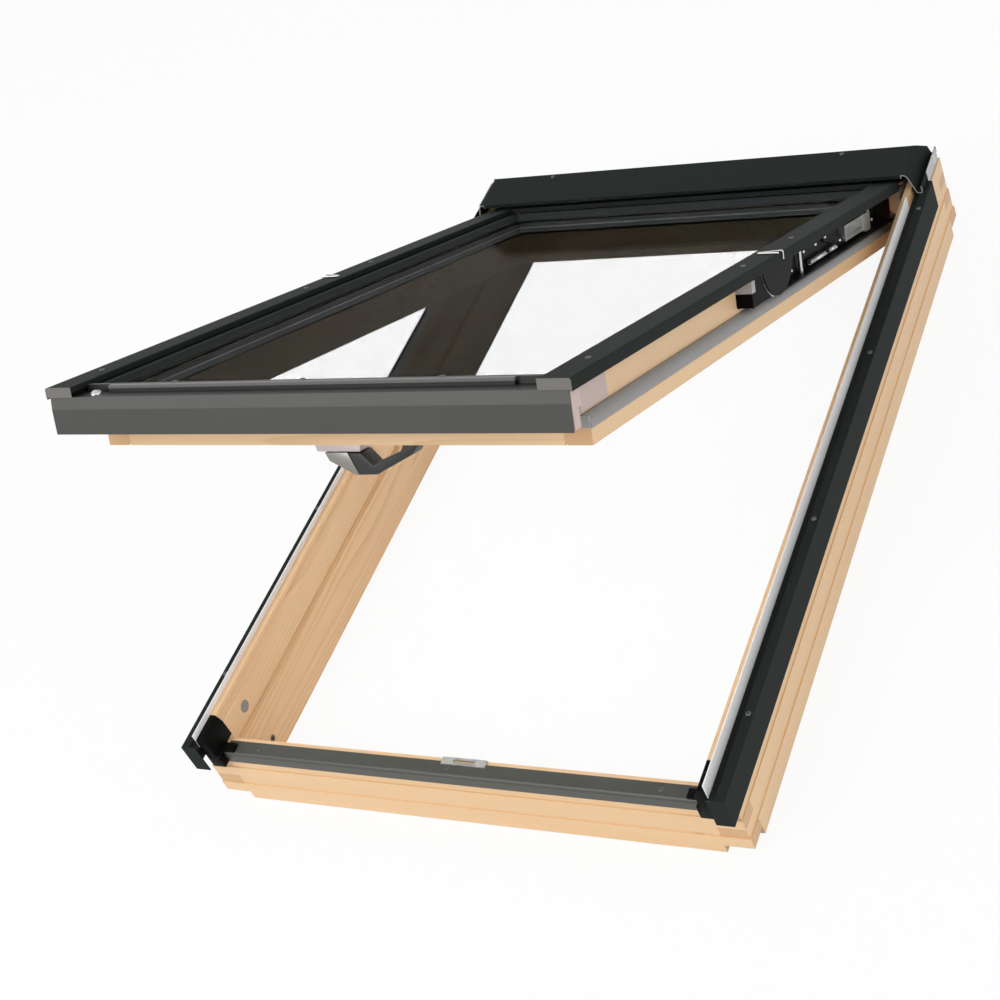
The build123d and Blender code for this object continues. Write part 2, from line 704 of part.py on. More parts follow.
def lower_cover():
    """Side cover of the lower half, closed in front by a rounded end."""
    strip = along_y(sash_cover_profile(), SASH_COVER_FRONT, PIVOT_Y)
    end = block(
        SASH_COVER_INNER, SASH_COVER_HALF, SASH_COVER_FRONT, SASH_COVER_FRONT + SHEET,
        APRON_TOP, SASH_COVER_TOP,
    )
    end = fillet(end.edges().filter_by(Axis.Y).sort_by(Axis.Z)[-2:].sort_by(Axis.X)[-1], SASH_COVER_BEND)
    return strip + end


def cover_clip():
    """Bright wire hairpin that lies across the cover beside the pivot and turns down its edge."""
    z = SASH_COVER_TOP + CLIP_WIRE
    tip = SASH_COVER_INNER + CLIP_TIP
    edge = SASH_COVER_HALF + CLIP_WIRE
    first = PIVOT_Y - CLIP_BACK
    second = first - CLIP_SPREAD
    path = Polyline(
        (edge, first, SASH_COVER_TOP - CLIP_DROP), (edge, first, z), (tip, second, z),
        (edge, second - CLIP_LEAN, z),
    )
    wire = Plane(origin=path @ 0, z_dir=path % 0) * RegularPolygon(CLIP_WIRE, SCREW_SIDES // 2)
    return sweep(wire, path, transition=Transition.RIGHT)


def apron():
    """Extruded lower weather profile: creased front, top shelf, step under the glass, screwed tail."""
    lean = SASH_COVER_FRONT + APRON_LEAN
    line = [
        (SASH_COVER_FRONT, APRON_BOTTOM), (SASH_COVER_FRONT, APRON_CREASE), (lean, APRON_TOP),
        (APRON_SHELF, APRON_TOP), (APRON_SHELF, APRON_SHELF_Z), (SASH_FRONT, APRON_SHELF_Z),
        (SASH_FRONT, APRON_SHELF_Z - APRON_TAIL - APRON_WALL),
    ]
    profile = along_x(sheet(line, APRON_BEND, thickness=APRON_WALL), -APRON_HALF, APRON_HALF)
    inner = APRON_HALF - SHEET - CORNER_CLEAR
    outer = APRON_HALF + OVERCUT
    front = END_PLATE_BEND_Y - END_PLATE_BEND
    cut = along_z(outline(
        (inner, front), (SASH_SIDE - CORNER_CLEAR, SASH_FRONT), (outer, SASH_FRONT), (outer, front),
    ), APRON_BOTTOM, APRON_TOP - APRON_WALL)
    return profile - cut - mirror(cut, about=Plane.YZ)


def bottom_bar():
    """Extruded glazing bar that stands on the shelf of the apron, along the lower edge of the glass."""
    low = APRON_TOP
    high = low + BAR_HEIGHT
    front = APRON_SHELF - BAR_DEPTH
    return along_x(outline(
        (front, low), (APRON_SHELF, low), (APRON_SHELF, high), (front + BAR_EDGE, high),
        (front, high - BAR_EDGE),
    ), -BAR_HALF, BAR_HALF)


def edge_seal():
    """Black rubber that holds the lower edge of the outer pane behind the bar."""
    back = APRON_SHELF
    return along_x(outline(
        (back, APRON_SHELF_Z + APRON_BEND), (back + APRON_BEND, APRON_SHELF_Z),
        (GLASS_FRONT, APRON_SHELF_Z), (GLASS_FRONT, GLASS_TOP_Z),
        (EDGE_SEAL_REACH, GLASS_TOP_Z), (EDGE_SEAL_REACH, GLASS_TOP_Z + EDGE_SEAL_LIP),
        (back + BAR_DEPTH, APRON_TOP + BAR_HEIGHT), (back, APRON_TOP + BAR_HEIGHT),
    ), CORNER_CLEAR - SASH_COVER_INNER, SASH_COVER_INNER - CORNER_CLEAR)


def end_plate():
    """Bare metal plate from the end of the apron to the side of the stile, notched over the rail."""
    front = SASH_COVER_FRONT + APRON_LEAN + APRON_WALL
    line = [
        (APRON_HALF, front), (APRON_HALF, END_PLATE_BEND_Y), (SASH_SIDE + SHEET, SASH_FRONT),
        (SASH_SIDE + SHEET, END_PLATE_BACK),
    ]
    plate = along_z(sheet(line, END_PLATE_BEND, side=Side.LEFT), END_PLATE_LOW, APRON_TOP - APRON_WALL)
    notch = block(
        SASH_SIDE - END_PLATE_BEND, SASH_COVER_HALF, END_PLATE_NOTCH_Y, SASH_FRONT,
        END_PLATE_LOW - OVERCUT, END_PLATE_NOTCH,
    )
    return plate - notch


def sash_screws():
    side_x = SASH_COVER_HALF - SASH_COVER_WIDTH / 2
    side_y = (SASH_SCREW_START, PIVOT_Y - SASH_SCREW_STOP)
    heads = both_sides([pan_head(side_x, y, SASH_COVER_TOP) for y in side_y])
    bar_x = evenly(BAR_SCREW_INSET - BAR_HALF, BAR_HALF - BAR_SCREW_INSET, 3)
    seal_y = (APRON_SHELF + GLASS_FRONT) / 2 + SCREW_RADIUS
    heads += [pan_head(x, seal_y, APRON_TOP + BAR_HEIGHT) for x in bar_x]
    return heads


def drain_screw():
    """Large slotted screw in the shelf of the apron, on the left."""
    x = DRAIN_SCREW_INSET - SASH_COVER_INNER
    y = APRON_SHELF - DRAIN_SCREW_BACK
    top = APRON_TOP + DRAIN_SCREW_HEIGHT
    body = along_z(Pos(x, y) * RegularPolygon(DRAIN_SCREW_RADIUS, SCREW_SIDES), APRON_TOP, top)
    body = chamfer(body.edges().group_by(Axis.Z)[-1], SHEET)
    slot = block(
        x - DRAIN_SCREW_RADIUS, x + DRAIN_SCREW_RADIUS, y - DRAIN_SLOT / 2, y + DRAIN_SLOT / 2,
        top - DRAIN_SLOT, top + OVERCUT,
    )
    return body - slot


def build_sash_metal():
    add_open_pair("side_bead", side_bead())
    add_open("top_bead", top_bead())
    add_open_pair("sash_side_cover", lower_cover())
    add_open_group("cover_clips", both_sides([cover_clip()]))
    add_open("apron", apron())
    add_open("bottom_bar", bottom_bar())
    add_open("edge_seal", edge_seal())
    add_open_pair("end_plate", end_plate())
    add_open_group("sash_screws", sash_screws())
    add_open("drain_screw", drain_screw())


# Arc pivot: a rib on the sash runs in a curved groove of the housing on the arm,
# and a cup on the sash hugs the round rim of the housing
def pivot_disc(radius, x0, x1):
    return rod_x(x0, x1, PIVOT_Y, PIVOT_Z, radius)


def pivot_ring(radius_in, radius_out, x0, x1):
    return pivot_disc(radius_out, x0, x1) - pivot_disc(radius_in, x0 - OVERCUT, x1 + OVERCUT)


def pivot_sector(start, end, reach, x0, x1):
    """Wedge about the pivot axis; the angles turn from +Y towards +Z."""
    corners = [(PIVOT_Y, PIVOT_Z)]
    for angle in (start, (start + end) / 2, end):
        corners.append((PIVOT_Y + reach * cos(radians(angle)), PIVOT_Z + reach * sin(radians(angle))))
    return along_x(outline(*corners), x0, x1)


def pivot_track():
    """The curved groove, as the ring of metal that is cut away."""
    gap = TRACK_RIB / 2 + TRACK_PLAY
    return pivot_ring(
        TRACK_RADIUS - gap, TRACK_RADIUS + gap, ARM_INNER - OVERCUT, ARM_INNER + TRACK_DEPTH
    )


def pivot_housing():
    """Half disc with the upper edge cut level with the arm."""
    disc = pivot_disc(PIVOT_RADIUS, ARM_INNER, ARM_OUTER)
    disc -= block(
        ARM_INNER - OVERCUT, ARM_OUTER + OVERCUT, PIVOT_Y - PIVOT_RADIUS, PIVOT_Y + PIVOT_RADIUS,
        ARM_HIGH, PIVOT_Z + PIVOT_RADIUS,
    )
    return disc


def pivot_rib_plate():
    """Plate in the pocket of the stile with the curved rib."""
    face = SASH_SIDE + ARM_CLEAR / 2
    plate = block(
        SASH_SIDE - POCKET_DEPTH, face, PIVOT_Y + RIB_PLATE_START, PIVOT_Y + PIVOT_RADIUS,
        POCKET_LOW + POCKET_PLAY, POCKET_HIGH - POCKET_PLAY,
    )
    half = TRACK_RIB / 2
    rib = pivot_ring(TRACK_RADIUS - half, TRACK_RADIUS + half, face, ARM_INNER + TRACK_DEPTH - TRACK_PLAY)
    rib &= pivot_sector(
        -TRACK_START - TRACK_ARC / 2, -TRACK_START + TRACK_ARC / 2, 2 * PIVOT_RADIUS, face, ARM_OUTER
    )
    return plate + rib


def pivot_cup():
    """Curved strip that hugs the round rim of the housing."""
    inner = PIVOT_RADIUS + CUP_PLAY
    outer = ARM_OUTER - CUP_WALL
    ring = pivot_ring(inner, inner + CUP_WALL, ARM_INNER, outer)
    return ring & pivot_sector(CUP_START, CUP_END, 2 * PIVOT_RADIUS, ARM_INNER, outer)


def pivot_foot():
    """Block in the lower end of the pocket that carries the cup."""
    foot = block(
        SASH_SIDE - POCKET_DEPTH, ARM_OUTER - CUP_WALL, POCKET_START + POCKET_CORNER,
        PIVOT_Y - PIVOT_RADIUS / 2, POCKET_LOW + POCKET_PLAY, POCKET_HIGH - POCKET_PLAY,
    )
    return foot - pivot_disc(PIVOT_RADIUS + CUP_PLAY + CUP_WALL, SASH_SIDE - 2 * POCKET_DEPTH, ARM_OUTER)


def build_pivots():
    add_open_group("pivot_rib_plates", both_sides([pivot_rib_plate()]))
    add_open_group("pivot_cups", both_sides([pivot_cup()]))
    add_open_pair("pivot_foot", pivot_foot())


# Side arms with the covers of the upper half
def arm():
    """Channel arm open to the outside, with the pivot housing below and the hinge eye above."""
    profile = outline(
        (ARM_INNER, ARM_LOW), (ARM_OUTER, ARM_LOW), (ARM_OUTER, ARM_LOW + ARM_PLATE),
        (ARM_INNER + ARM_PLATE, ARM_LOW + ARM_PLATE), (ARM_INNER + ARM_PLATE, ARM_HIGH - ARM_PLATE),
        (ARM_OUTER, ARM_HIGH - ARM_PLATE), (ARM_OUTER, ARM_HIGH), (ARM_INNER, ARM_HIGH),
    )
    start = PIVOT_Y + ARM_START
    body = pivot_housing() + along_y(profile, start, HINGE_Y - HINGE_PLATE_LENGTH / 2)
    body -= pivot_track()
    neck = block(
        ARM_INNER, ARM_INNER + HINGE_EYE_WIDTH, HINGE_Y - HINGE_PLATE_LENGTH, HINGE_Y, ARM_LOW,
        HINGE_Z + HINGE_EYE,
    )
    neck = fillet(neck.edges().filter_by(Axis.X).sort_by(Axis.Y)[:2].sort_by(Axis.Z)[-1], HINGE_EYE)
    eye = rod_x(ARM_INNER, ARM_INNER + HINGE_EYE_WIDTH, HINGE_Y, HINGE_Z, HINGE_EYE)
    body = body + neck + eye
    for y in (PIVOT_Y + PIVOT_RADIUS, (PIVOT_Y + HINGE_Y) / 2, HINGE_Y - 2 * HINGE_PLATE_LENGTH):
        body += block(ARM_INNER, ARM_OUTER, y, y + ARM_WIDTH, ARM_HIGH - ARM_PLATE, SASH_COVER_TOP - SHEET)
    return body - rod_x(
        ARM_INNER - OVERCUT, ARM_INNER + HINGE_EYE_WIDTH + OVERCUT, HINGE_Y, HINGE_Z, HINGE_PIN + PIN_PLAY
    )


def arm_point(offset, rise):
    """A place on the arm, from the pivot along it and up from its lower edge."""
    return PIVOT_Y + offset, ARM_LOW + rise


def arm_springs():
    """Ribbed spring barrels and a plain stud, just off the web of the arm."""
    coil = STUD + SPRING_RIB
    x = ARM_INNER + ARM_PLATE + coil + SPRING_PLAY
    pieces = []
    for start, end, rise in ARM_SPRINGS:
        y0, z = arm_point(start, rise)
        barrel = along_y(Pos(x, z) * RegularPolygon(STUD, SPRING_SIDES), y0, y0 + end - start)
        for turn in range(int((end - start) / SPRING_PITCH)):
            middle = y0 + SPRING_PITCH * (turn + 0.5)
            ring = Pos(x, z) * RegularPolygon(coil, SPRING_SIDES)
            barrel += along_y(ring, middle - SPRING_PITCH / 4, middle + SPRING_PITCH / 4)
        pieces.append(barrel)
    stud = Pos(x, PIVOT_Y + ARM_STUD) * RegularPolygon(STUD, SCREW_SIDES)
    pieces.append(along_z(stud, ARM_LOW + ARM_PLATE, ARM_HIGH - ARM_PLATE))
    return pieces


def arm_links():
    """Dark link bars with round ends, flat on the web of the arm."""
    web = ARM_INNER + ARM_PLATE
    links = []
    for start, end in ARM_LINKS:
        y0, z0 = arm_point(*start)
        y1, z1 = arm_point(*end)
        bar = SlotCenterToCenter(hypot(y1 - y0, z1 - z0), 2 * LINK_RADIUS)
        turned = Pos((y0 + y1) / 2, (z0 + z1) / 2) * Rot(0, 0, degrees(atan2(z1 - z0, y1 - y0))) * bar
        links.append(along_x(turned, web, web + LINK_THICKNESS))
    return links


def arm_rivets():
    """Round rivet heads on the web and on the ends of the links."""
    web = ARM_INNER + ARM_PLATE
    spots = [(web, place) for place in ARM_RIVETS]
    spots += [(web + LINK_THICKNESS, end) for link in ARM_LINKS for end in link]
    rivets = []
    for seat, place in spots:
        head = Pos(*arm_point(*place)) * RegularPolygon(STUD, SCREW_SIDES)
        rivets.append(along_x(head, seat, seat + STUD))
    return rivets


def arm_slider():
    """Bright locking slider: an open frame with a solid block at its upper end."""
    web = ARM_INNER + ARM_PLATE
    y0, z0 = arm_point(SLIDER_START, SLIDER_LOW)
    y1 = y0 + SLIDER_LENGTH
    z1 = z0 + SLIDER_HEIGHT
    wall = SLIDER_WALL
    frame = block(web, web + SLIDER_DEPTH, y0, y1, z0, z1)
    frame -= block(web + wall / 2, web + SLIDER_DEPTH, y0 + wall, y1 - wall, z0 + wall, z1 - wall)
    frame += block(web, web + SLIDER_DEPTH + wall, y1, y1 + SLIDER_BLOCK, z0 - wall / 2, z1 + wall / 2)
    return fillet(frame.edges().filter_by(Axis.X).sort_by(Axis.Y)[-2:], wall / 2)


def upper_cover():
    """Side cover of the upper half, with its edge cut away beside the hinge."""
    strip = along_y(sash_cover_profile(), PIVOT_Y + COVER_SPLIT, SASH_HEAD)
    clear = block(
        SASH_COVER_HALF - 2 * SHEET, SASH_COVER_HALF + OVERCUT, HINGE_Y - 2 * HINGE_EYE, SASH_HEAD + OVERCUT,
        SASH_COVER_TOP - SASH_COVER_DROP - OVERCUT, SASH_COVER_TOP - SASH_COVER_BEND,
    )
    return strip - clear


def head_cover():
    """Folded cover over the head rail, between the two side covers."""
    front = TOP_BEAD_END + BEAD_GAP
    top = SASH_COVER_TOP
    back = SASH_HEAD + SHEET + HEAD_COVER_PLAY
    line = [(front, top - SASH_COVER_TURN), (front, top), (back, top), (back, SASH_TOP_Z)]
    return along_x(sheet(line, BEND), -SASH_COVER_INNER, SASH_COVER_INNER)


def build_arms():
    add_open_pair("side_arm", arm())
    add_open_group("arm_springs", both_sides(arm_springs()))
    add_open_group("arm_rivets", both_sides(arm_rivets()))
    add_open_group("arm_links", both_sides(arm_links()))
    add_open_pair("arm_slider", arm_slider())
    add_open_pair("upper_side_cover", upper_cover())
    add_open("head_cover", head_cover())
    screw_y = PIVOT_Y + SASH_SCREW_STOP - 2 * SCREW_RADIUS
    heads = both_sides([pan_head(SASH_COVER_HALF - SASH_COVER_WIDTH / 2, screw_y, SASH_COVER_TOP)])
    add_open_group("upper_cover_screws", heads)


# Handle under the bottom rail of the sash
def handle_housing():
    low = SASH_BOTTOM_Z - HANDLE_HEIGHT
    body = along_y(outline(
        (HANDLE_X - HANDLE_HALF, SASH_BOTTOM_Z), (HANDLE_X - HANDLE_HALF + HANDLE_TAPER, low),
        (HANDLE_X + HANDLE_HALF - HANDLE_TAPER, low), (HANDLE_X + HANDLE_HALF, SASH_BOTTOM_Z),
    ), HANDLE_Y - HANDLE_DEPTH / 2, HANDLE_Y + HANDLE_DEPTH / 2)
    return fillet(body.edges().filter_by(Axis.Y).sort_by(Axis.Z)[:2], HANDLE_EDGE)


def lever_slab(points):
    """A slab under the housing; the points are places along X from the pivot and depths below it."""
    pivot = HANDLE_X + LEVER_OFFSET
    top = SASH_BOTTOM_Z - HANDLE_HEIGHT - LEVER_GAP
    half = HANDLE_DEPTH / 2 - LEVER_MARGIN
    face = outline(*[(pivot + place, top - depth) for place, depth in points])
    return along_y(face, HANDLE_Y - half, HANDLE_Y + half)


def lever_arm():
    """Bright wedge-shaped arm that hangs from the housing on a round boss."""
    top = SASH_BOTTOM_Z - HANDLE_HEIGHT - LEVER_GAP
    boss = rod_z(HANDLE_X + LEVER_OFFSET, HANDLE_Y, top - LEVER_BOSS_DEPTH, top, LEVER_BOSS)
    return lever_slab(LEVER_FACE) + boss


def lever_grip():
    """Black grip: it follows the arm down and then rises to the side as an open hook."""
    return lever_slab(GRIP_FACE)


def build_handle():
    add_open("handle_housing", handle_housing())
    add_open("handle_lever", lever_arm())
    add_open("handle_grip", lever_grip())


build_frame_timber()
jamb_inserts()
build_frame_metal()
build_sash_timber()
build_glazing()
build_sash_metal()
build_pivots()
build_arms()
build_handle()

os.makedirs("parts", exist_ok=True)
for name, shape in parts.items():
    export_step(shape, f"parts/{name}.step")
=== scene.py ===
import bpy
import bmesh
import json
from math import cos, pi, radians, sin
from mathutils import Matrix, Vector


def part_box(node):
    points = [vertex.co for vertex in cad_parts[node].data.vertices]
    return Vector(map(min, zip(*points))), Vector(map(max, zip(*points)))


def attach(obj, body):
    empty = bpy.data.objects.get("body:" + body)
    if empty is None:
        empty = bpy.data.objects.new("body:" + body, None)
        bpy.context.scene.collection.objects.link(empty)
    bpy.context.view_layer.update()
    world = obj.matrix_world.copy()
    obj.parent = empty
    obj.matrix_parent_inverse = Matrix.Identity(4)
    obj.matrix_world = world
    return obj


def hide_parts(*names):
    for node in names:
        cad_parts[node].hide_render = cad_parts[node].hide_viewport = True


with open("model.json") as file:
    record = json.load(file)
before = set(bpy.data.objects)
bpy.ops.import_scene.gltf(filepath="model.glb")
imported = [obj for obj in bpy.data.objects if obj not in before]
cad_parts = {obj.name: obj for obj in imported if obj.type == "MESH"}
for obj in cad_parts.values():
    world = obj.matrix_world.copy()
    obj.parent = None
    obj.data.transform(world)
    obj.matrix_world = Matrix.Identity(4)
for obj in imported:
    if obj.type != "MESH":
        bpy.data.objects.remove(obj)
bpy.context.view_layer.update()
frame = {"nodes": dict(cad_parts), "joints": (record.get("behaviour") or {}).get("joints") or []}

nodes = frame["nodes"]

# Frame timber
# Four pine members with a clear lacquer, finger jointed at the corners, so that end grain
# and long grain alternate there. Jambs run up the slope and rails run across.
PINE_LIGHT = (0.90, 0.635, 0.370)
PINE_MIDDLE = (0.80, 0.525, 0.270)
PINE_LATE = (0.58, 0.32, 0.14)
PINE_KNOT = (0.20, 0.075, 0.025)
END_GRAIN_SHADE = 0.7
END_GRAIN_FROM = 0.8              # how far a face looks along the grain before it is end grain
RING_SPACING = 0.0034
RING_WANDER = 0.045
RING_TONES = [(0.0, 0.0), (0.55, 0.22), (0.86, 0.85), (0.95, 1.0), (1.0, 0.0)]
WANDER_SCALE = 9.0
FIBRE_STRETCH = (1.0, 0.08, 1.0)
FIBRE_SCALE = 900.0
FIBRE_SHADE = 0.16
PINE_DRIFT_SCALE = 14.0
KNOT_STRETCH = (1.0, 0.42, 1.0)
KNOT_SCALE = 7.0
KNOT_REACH = 0.062
KNOT_PUSH = 0.10
KNOT_TONES = [(0.0, 0.0), (0.012, 0.0), (0.03, 0.75), (0.06, 1.0)]
GRAIN_RELIEF = (0.00012, 0.5)     # depth in metres, and strength
LACQUER_WEIGHT = 0.15
LACQUER_ROUGHNESS = 0.3
NO_TURN = (0, 0, 0)
ACROSS = (0, 0, pi / 2)


def feed(tree, socket, value):
    """Links another node's output to a socket, or sets the socket's own value."""
    if isinstance(value, bpy.types.NodeSocket):
        tree.links.new(value, socket)
    else:
        socket.default_value = value


def new_group(name, inputs):
    """A group from coordinates and named values to a surface, with its inputs and outputs."""
    tree = bpy.data.node_groups.new(name, "ShaderNodeTree")
    tree.interface.new_socket("Vector", in_out="INPUT", socket_type="NodeSocketVector")
    for label, value in inputs.items():
        kind = "NodeSocketColor" if isinstance(value, tuple) else "NodeSocketFloat"
        socket = tree.interface.new_socket(label, in_out="INPUT", socket_type=kind)
        socket.default_value = value
    for label, kind in (("Color", "NodeSocketColor"), ("Roughness", "NodeSocketFloat"),
                        ("Height", "NodeSocketFloat")):
        tree.interface.new_socket(label, in_out="OUTPUT", socket_type=kind)
    given = tree.nodes.new("NodeGroupInput")
    result = tree.nodes.new("NodeGroupOutput")
    return tree, given.outputs, result.inputs


def math_node(tree, operation, first, second=None, clamp=False):
    node = tree.nodes.new("ShaderNodeMath")
    node.operation = operation
    node.use_clamp = clamp
    feed(tree, node.inputs[0], first)
    if second is not None:
        feed(tree, node.inputs[1], second)
    return node.outputs[0]


def scaled(tree, value, factor, offset):
    """The value times the factor, plus the offset."""
    return math_node(tree, "ADD", math_node(tree, "MULTIPLY", value, factor), offset)


def stretched(tree, vector, factors):
    """The vector with each of its axes times a factor of its own."""
    node = tree.nodes.new("ShaderNodeVectorMath")
    node.operation = "MULTIPLY"
    node.inputs[1].default_value = factors
    tree.links.new(vector, node.inputs[0])
    return node.outputs[0]


def axes_of(tree, vector):
    """The vector's X, Y and Z."""
    split = tree.nodes.new("ShaderNodeSeparateXYZ")
    tree.links.new(vector, split.inputs[0])
    return split.outputs


def ramp_node(tree, factor, stops):
    """A ramp whose stops are a place each, with a colour or a grey."""
    node = tree.nodes.new("ShaderNodeValToRGB")
    tree.links.new(factor, node.inputs[0])
    while len(node.color_ramp.elements) < len(stops):
        node.color_ramp.elements.new(1.0)
    for element, (place, tone) in zip(node.color_ramp.elements, stops):
        colour = tone if isinstance(tone, tuple) else (tone, tone, tone)
        element.position = place
        element.color = (*colour, 1.0)
    return node.outputs[0]


def noise_node(tree, vector, scale, detail):
    node = tree.nodes.new("ShaderNodeTexNoise")
    node.inputs["Scale"].default_value = scale
    node.inputs["Detail"].default_value = detail
    tree.links.new(vector, node.inputs["Vector"])
    return node.outputs["Fac"]


def mix_colour(tree, factor, first, second, mode="MIX"):
    node = tree.nodes.new("ShaderNodeMix")
    node.data_type = "RGBA"
    node.blend_type = mode
    feed(tree, node.inputs[0], factor)
    for socket, colour in ((node.inputs[6], first), (node.inputs[7], second)):
        feed(tree, socket, (*colour, 1.0) if isinstance(colour, tuple) else colour)
    return node.outputs[2]


def build_pine_group():
    """Growth rings about a pith that runs along local Y, with pores, colour drift and knots."""
    tree, given, result = new_group("pine grain", {"Ring Spacing": RING_SPACING, "Knots": 1.0})
    fibre_way = stretched(tree, given["Vector"], FIBRE_STRETCH)
    wander = noise_node(tree, fibre_way, WANDER_SCALE, 2.0)
    x, y, z = axes_of(tree, given["Vector"])
    square_x = math_node(tree, "MULTIPLY", x, x)
    square_z = math_node(tree, "MULTIPLY", z, z)
    reach = math_node(tree, "SQRT", math_node(tree, "ADD", square_x, square_z))
    reach = scaled(tree, wander, RING_WANDER, reach)
    # knots push the rings aside and darken their middle
    cells = tree.nodes.new("ShaderNodeTexVoronoi")
    cells.inputs["Scale"].default_value = KNOT_SCALE
    tree.links.new(stretched(tree, given["Vector"], KNOT_STRETCH), cells.inputs["Vector"])
    near = math_node(tree, "SUBTRACT", KNOT_REACH, cells.outputs["Distance"], clamp=True)
    near = math_node(tree, "MULTIPLY", near, given["Knots"])
    reach = scaled(tree, near, KNOT_PUSH, reach)
    ring = math_node(tree, "FRACT", math_node(tree, "DIVIDE", reach, given["Ring Spacing"]))
    tone = ramp_node(tree, ring, RING_TONES)
    fibre = noise_node(tree, fibre_way, FIBRE_SCALE, 2.0)
    drift = noise_node(tree, fibre_way, PINE_DRIFT_SCALE, 3.0)
    early = mix_colour(tree, math_node(tree, "MULTIPLY", drift, 0.9), PINE_LIGHT, PINE_MIDDLE)
    late = math_node(tree, "MULTIPLY", tone, scaled(tree, drift, 0.6, 0.05))
    grain = mix_colour(tree, late, early, PINE_LATE)
    grain = mix_colour(tree, math_node(tree, "MULTIPLY", fibre, FIBRE_SHADE), grain, PINE_LATE)
    core = ramp_node(tree, near, KNOT_TONES)
    tree.links.new(mix_colour(tree, core, grain, PINE_KNOT), result["Color"])
    tree.links.new(scaled(tree, fibre, 0.15, 0.36), result["Roughness"])
    tree.links.new(scaled(tree, tone, -0.4, fibre), result["Height"])
    return tree


pine_grain = build_pine_group()


def material_with_shader(name):
    material = bpy.data.materials.new(name)
    material.use_nodes = True
    tree = material.node_tree
    return material, tree, tree.nodes["Principled BSDF"]


def place_pattern(tree, centre=(0, 0, 0), turn=NO_TURN, source="Object"):
    """Coordinates moved to a pattern's centre and turned into its own axes."""
    coords = tree.nodes.new("ShaderNodeTexCoord")
    mapping = tree.nodes.new("ShaderNodeMapping")
    mapping.vector_type = "TEXTURE"
    mapping.inputs["Location"].default_value = centre
    mapping.inputs["Rotation"].default_value = turn
    tree.links.new(coords.outputs[source], mapping.inputs["Vector"])
    return mapping.outputs[0]


def surface_material(name, surface, values, relief, centre=(0, 0, 0), turn=NO_TURN):
    """A material whose colour, roughness and bump come from a group with named values."""
    material, tree, shader = material_with_shader(name)
    group = tree.nodes.new("ShaderNodeGroup")
    group.node_tree = surface
    tree.links.new(place_pattern(tree, centre, turn), group.inputs["Vector"])
    for label, value in values.items():
        group.inputs[label].default_value = value
    bump = tree.nodes.new("ShaderNodeBump")
    bump.inputs["Distance"].default_value, bump.inputs["Strength"].default_value = relief
    tree.links.new(group.outputs["Height"], bump.inputs["Height"])
    tree.links.new(group.outputs["Color"], shader.inputs["Base Color"])
    tree.links.new(group.outputs["Roughness"], shader.inputs["Roughness"])
    tree.links.new(bump.outputs["Normal"], shader.inputs["Normal"])
    return material, tree, shader


def recolour(material, area, colour):
    """Lays another colour over a material's own, where the area is 1."""
    tree = material.node_tree
    base = tree.nodes["Principled BSDF"].inputs["Base Color"]
    tree.links.new(mix_colour(tree, area, base.links[0].from_socket, colour), base)


def pine(name, pith, turn, spacing=RING_SPACING, knots=1.0):
    """Lacquered pine whose grain runs along the turned Y axis, through the pith."""
    material, tree, shader = surface_material(
        name, pine_grain, {"Ring Spacing": spacing, "Knots": knots}, GRAIN_RELIEF, pith, turn,
    )
    along = axes_of(tree, place_pattern(tree, turn=turn, source="Normal"))[1]
    cut = math_node(tree, "GREATER_THAN", math_node(tree, "ABSOLUTE", along), END_GRAIN_FROM)
    recolour(material, math_node(tree, "MULTIPLY", cut, END_GRAIN_SHADE), PINE_LATE)
    shader.inputs["Coat Weight"].default_value = LACQUER_WEIGHT
    shader.inputs["Coat Roughness"].default_value = LACQUER_ROUGHNESS
    return material


def paint(material, *names):
    """Puts one material on CAD nodes."""
    for name in names:
        slots = nodes[name].data.materials
        slots.clear()
        slots.append(material)


paint(pine("pine of the right jamb", (0.43, 0, -0.03), NO_TURN), "frame_jamb_right")
paint(pine("pine of the left jamb", (-0.45, 0, 0.05), NO_TURN), "frame_jamb_left")
paint(pine("pine of the bottom rail", (0, -0.61, -0.02), ACROSS), "frame_bottom_rail")
paint(pine("pine of the top rail", (0, 0.62, -0.03), ACROSS), "frame_top_rail")


# Plugs and bushings
# Grey moulded plugs cap the fixing holes in the jambs, and flanged bushings take the pins
# of a blind or lining. Both are pressed into the pine.
PLUG_GREY = (0.27, 0.26, 0.24)
BUSHING_GREY = (0.16, 0.13, 0.10)
DUST_GREY = (0.34, 0.34, 0.33)
DUST_SCALE = 1500.0
DUST_FROM = 0.66                  # noise above this is a speck
COAT_SHADE = (0.82, 0.82, 0.83)
COAT_DRIFT_SCALE = 6.0
PEEL_SCALE = 620.0
PEEL_RELIEF = (0.00004, 0.6)      # depth in metres, and strength


def build_finish_group():
    """Surface of coated, moulded or plated parts: drift of colour, fine texture and dust."""
    tree, given, result = new_group("surface finish", {
        "Color": (0.05, 0.05, 0.05, 1.0), "Roughness": 0.42, "Dust": 0.05,
    })
    drift = noise_node(tree, given["Vector"], COAT_DRIFT_SCALE, 4.0)
    peel = noise_node(tree, given["Vector"], PEEL_SCALE, 2.0)
    specks = noise_node(tree, given["Vector"], DUST_SCALE, 1.0)
    darker = mix_colour(tree, 1.0, given["Color"], COAT_SHADE, "MULTIPLY")
    base = mix_colour(tree, drift, darker, given["Color"])
    dusty = math_node(tree, "GREATER_THAN", specks, DUST_FROM)
    lift = math_node(tree, "MULTIPLY", dusty, given["Dust"])
    tree.links.new(mix_colour(tree, lift, base, DUST_GREY), result["Color"])
    tree.links.new(scaled(tree, drift, 0.10, given["Roughness"]), result["Roughness"])
    tree.links.new(peel, result["Height"])
    return tree


surface_finish = build_finish_group()


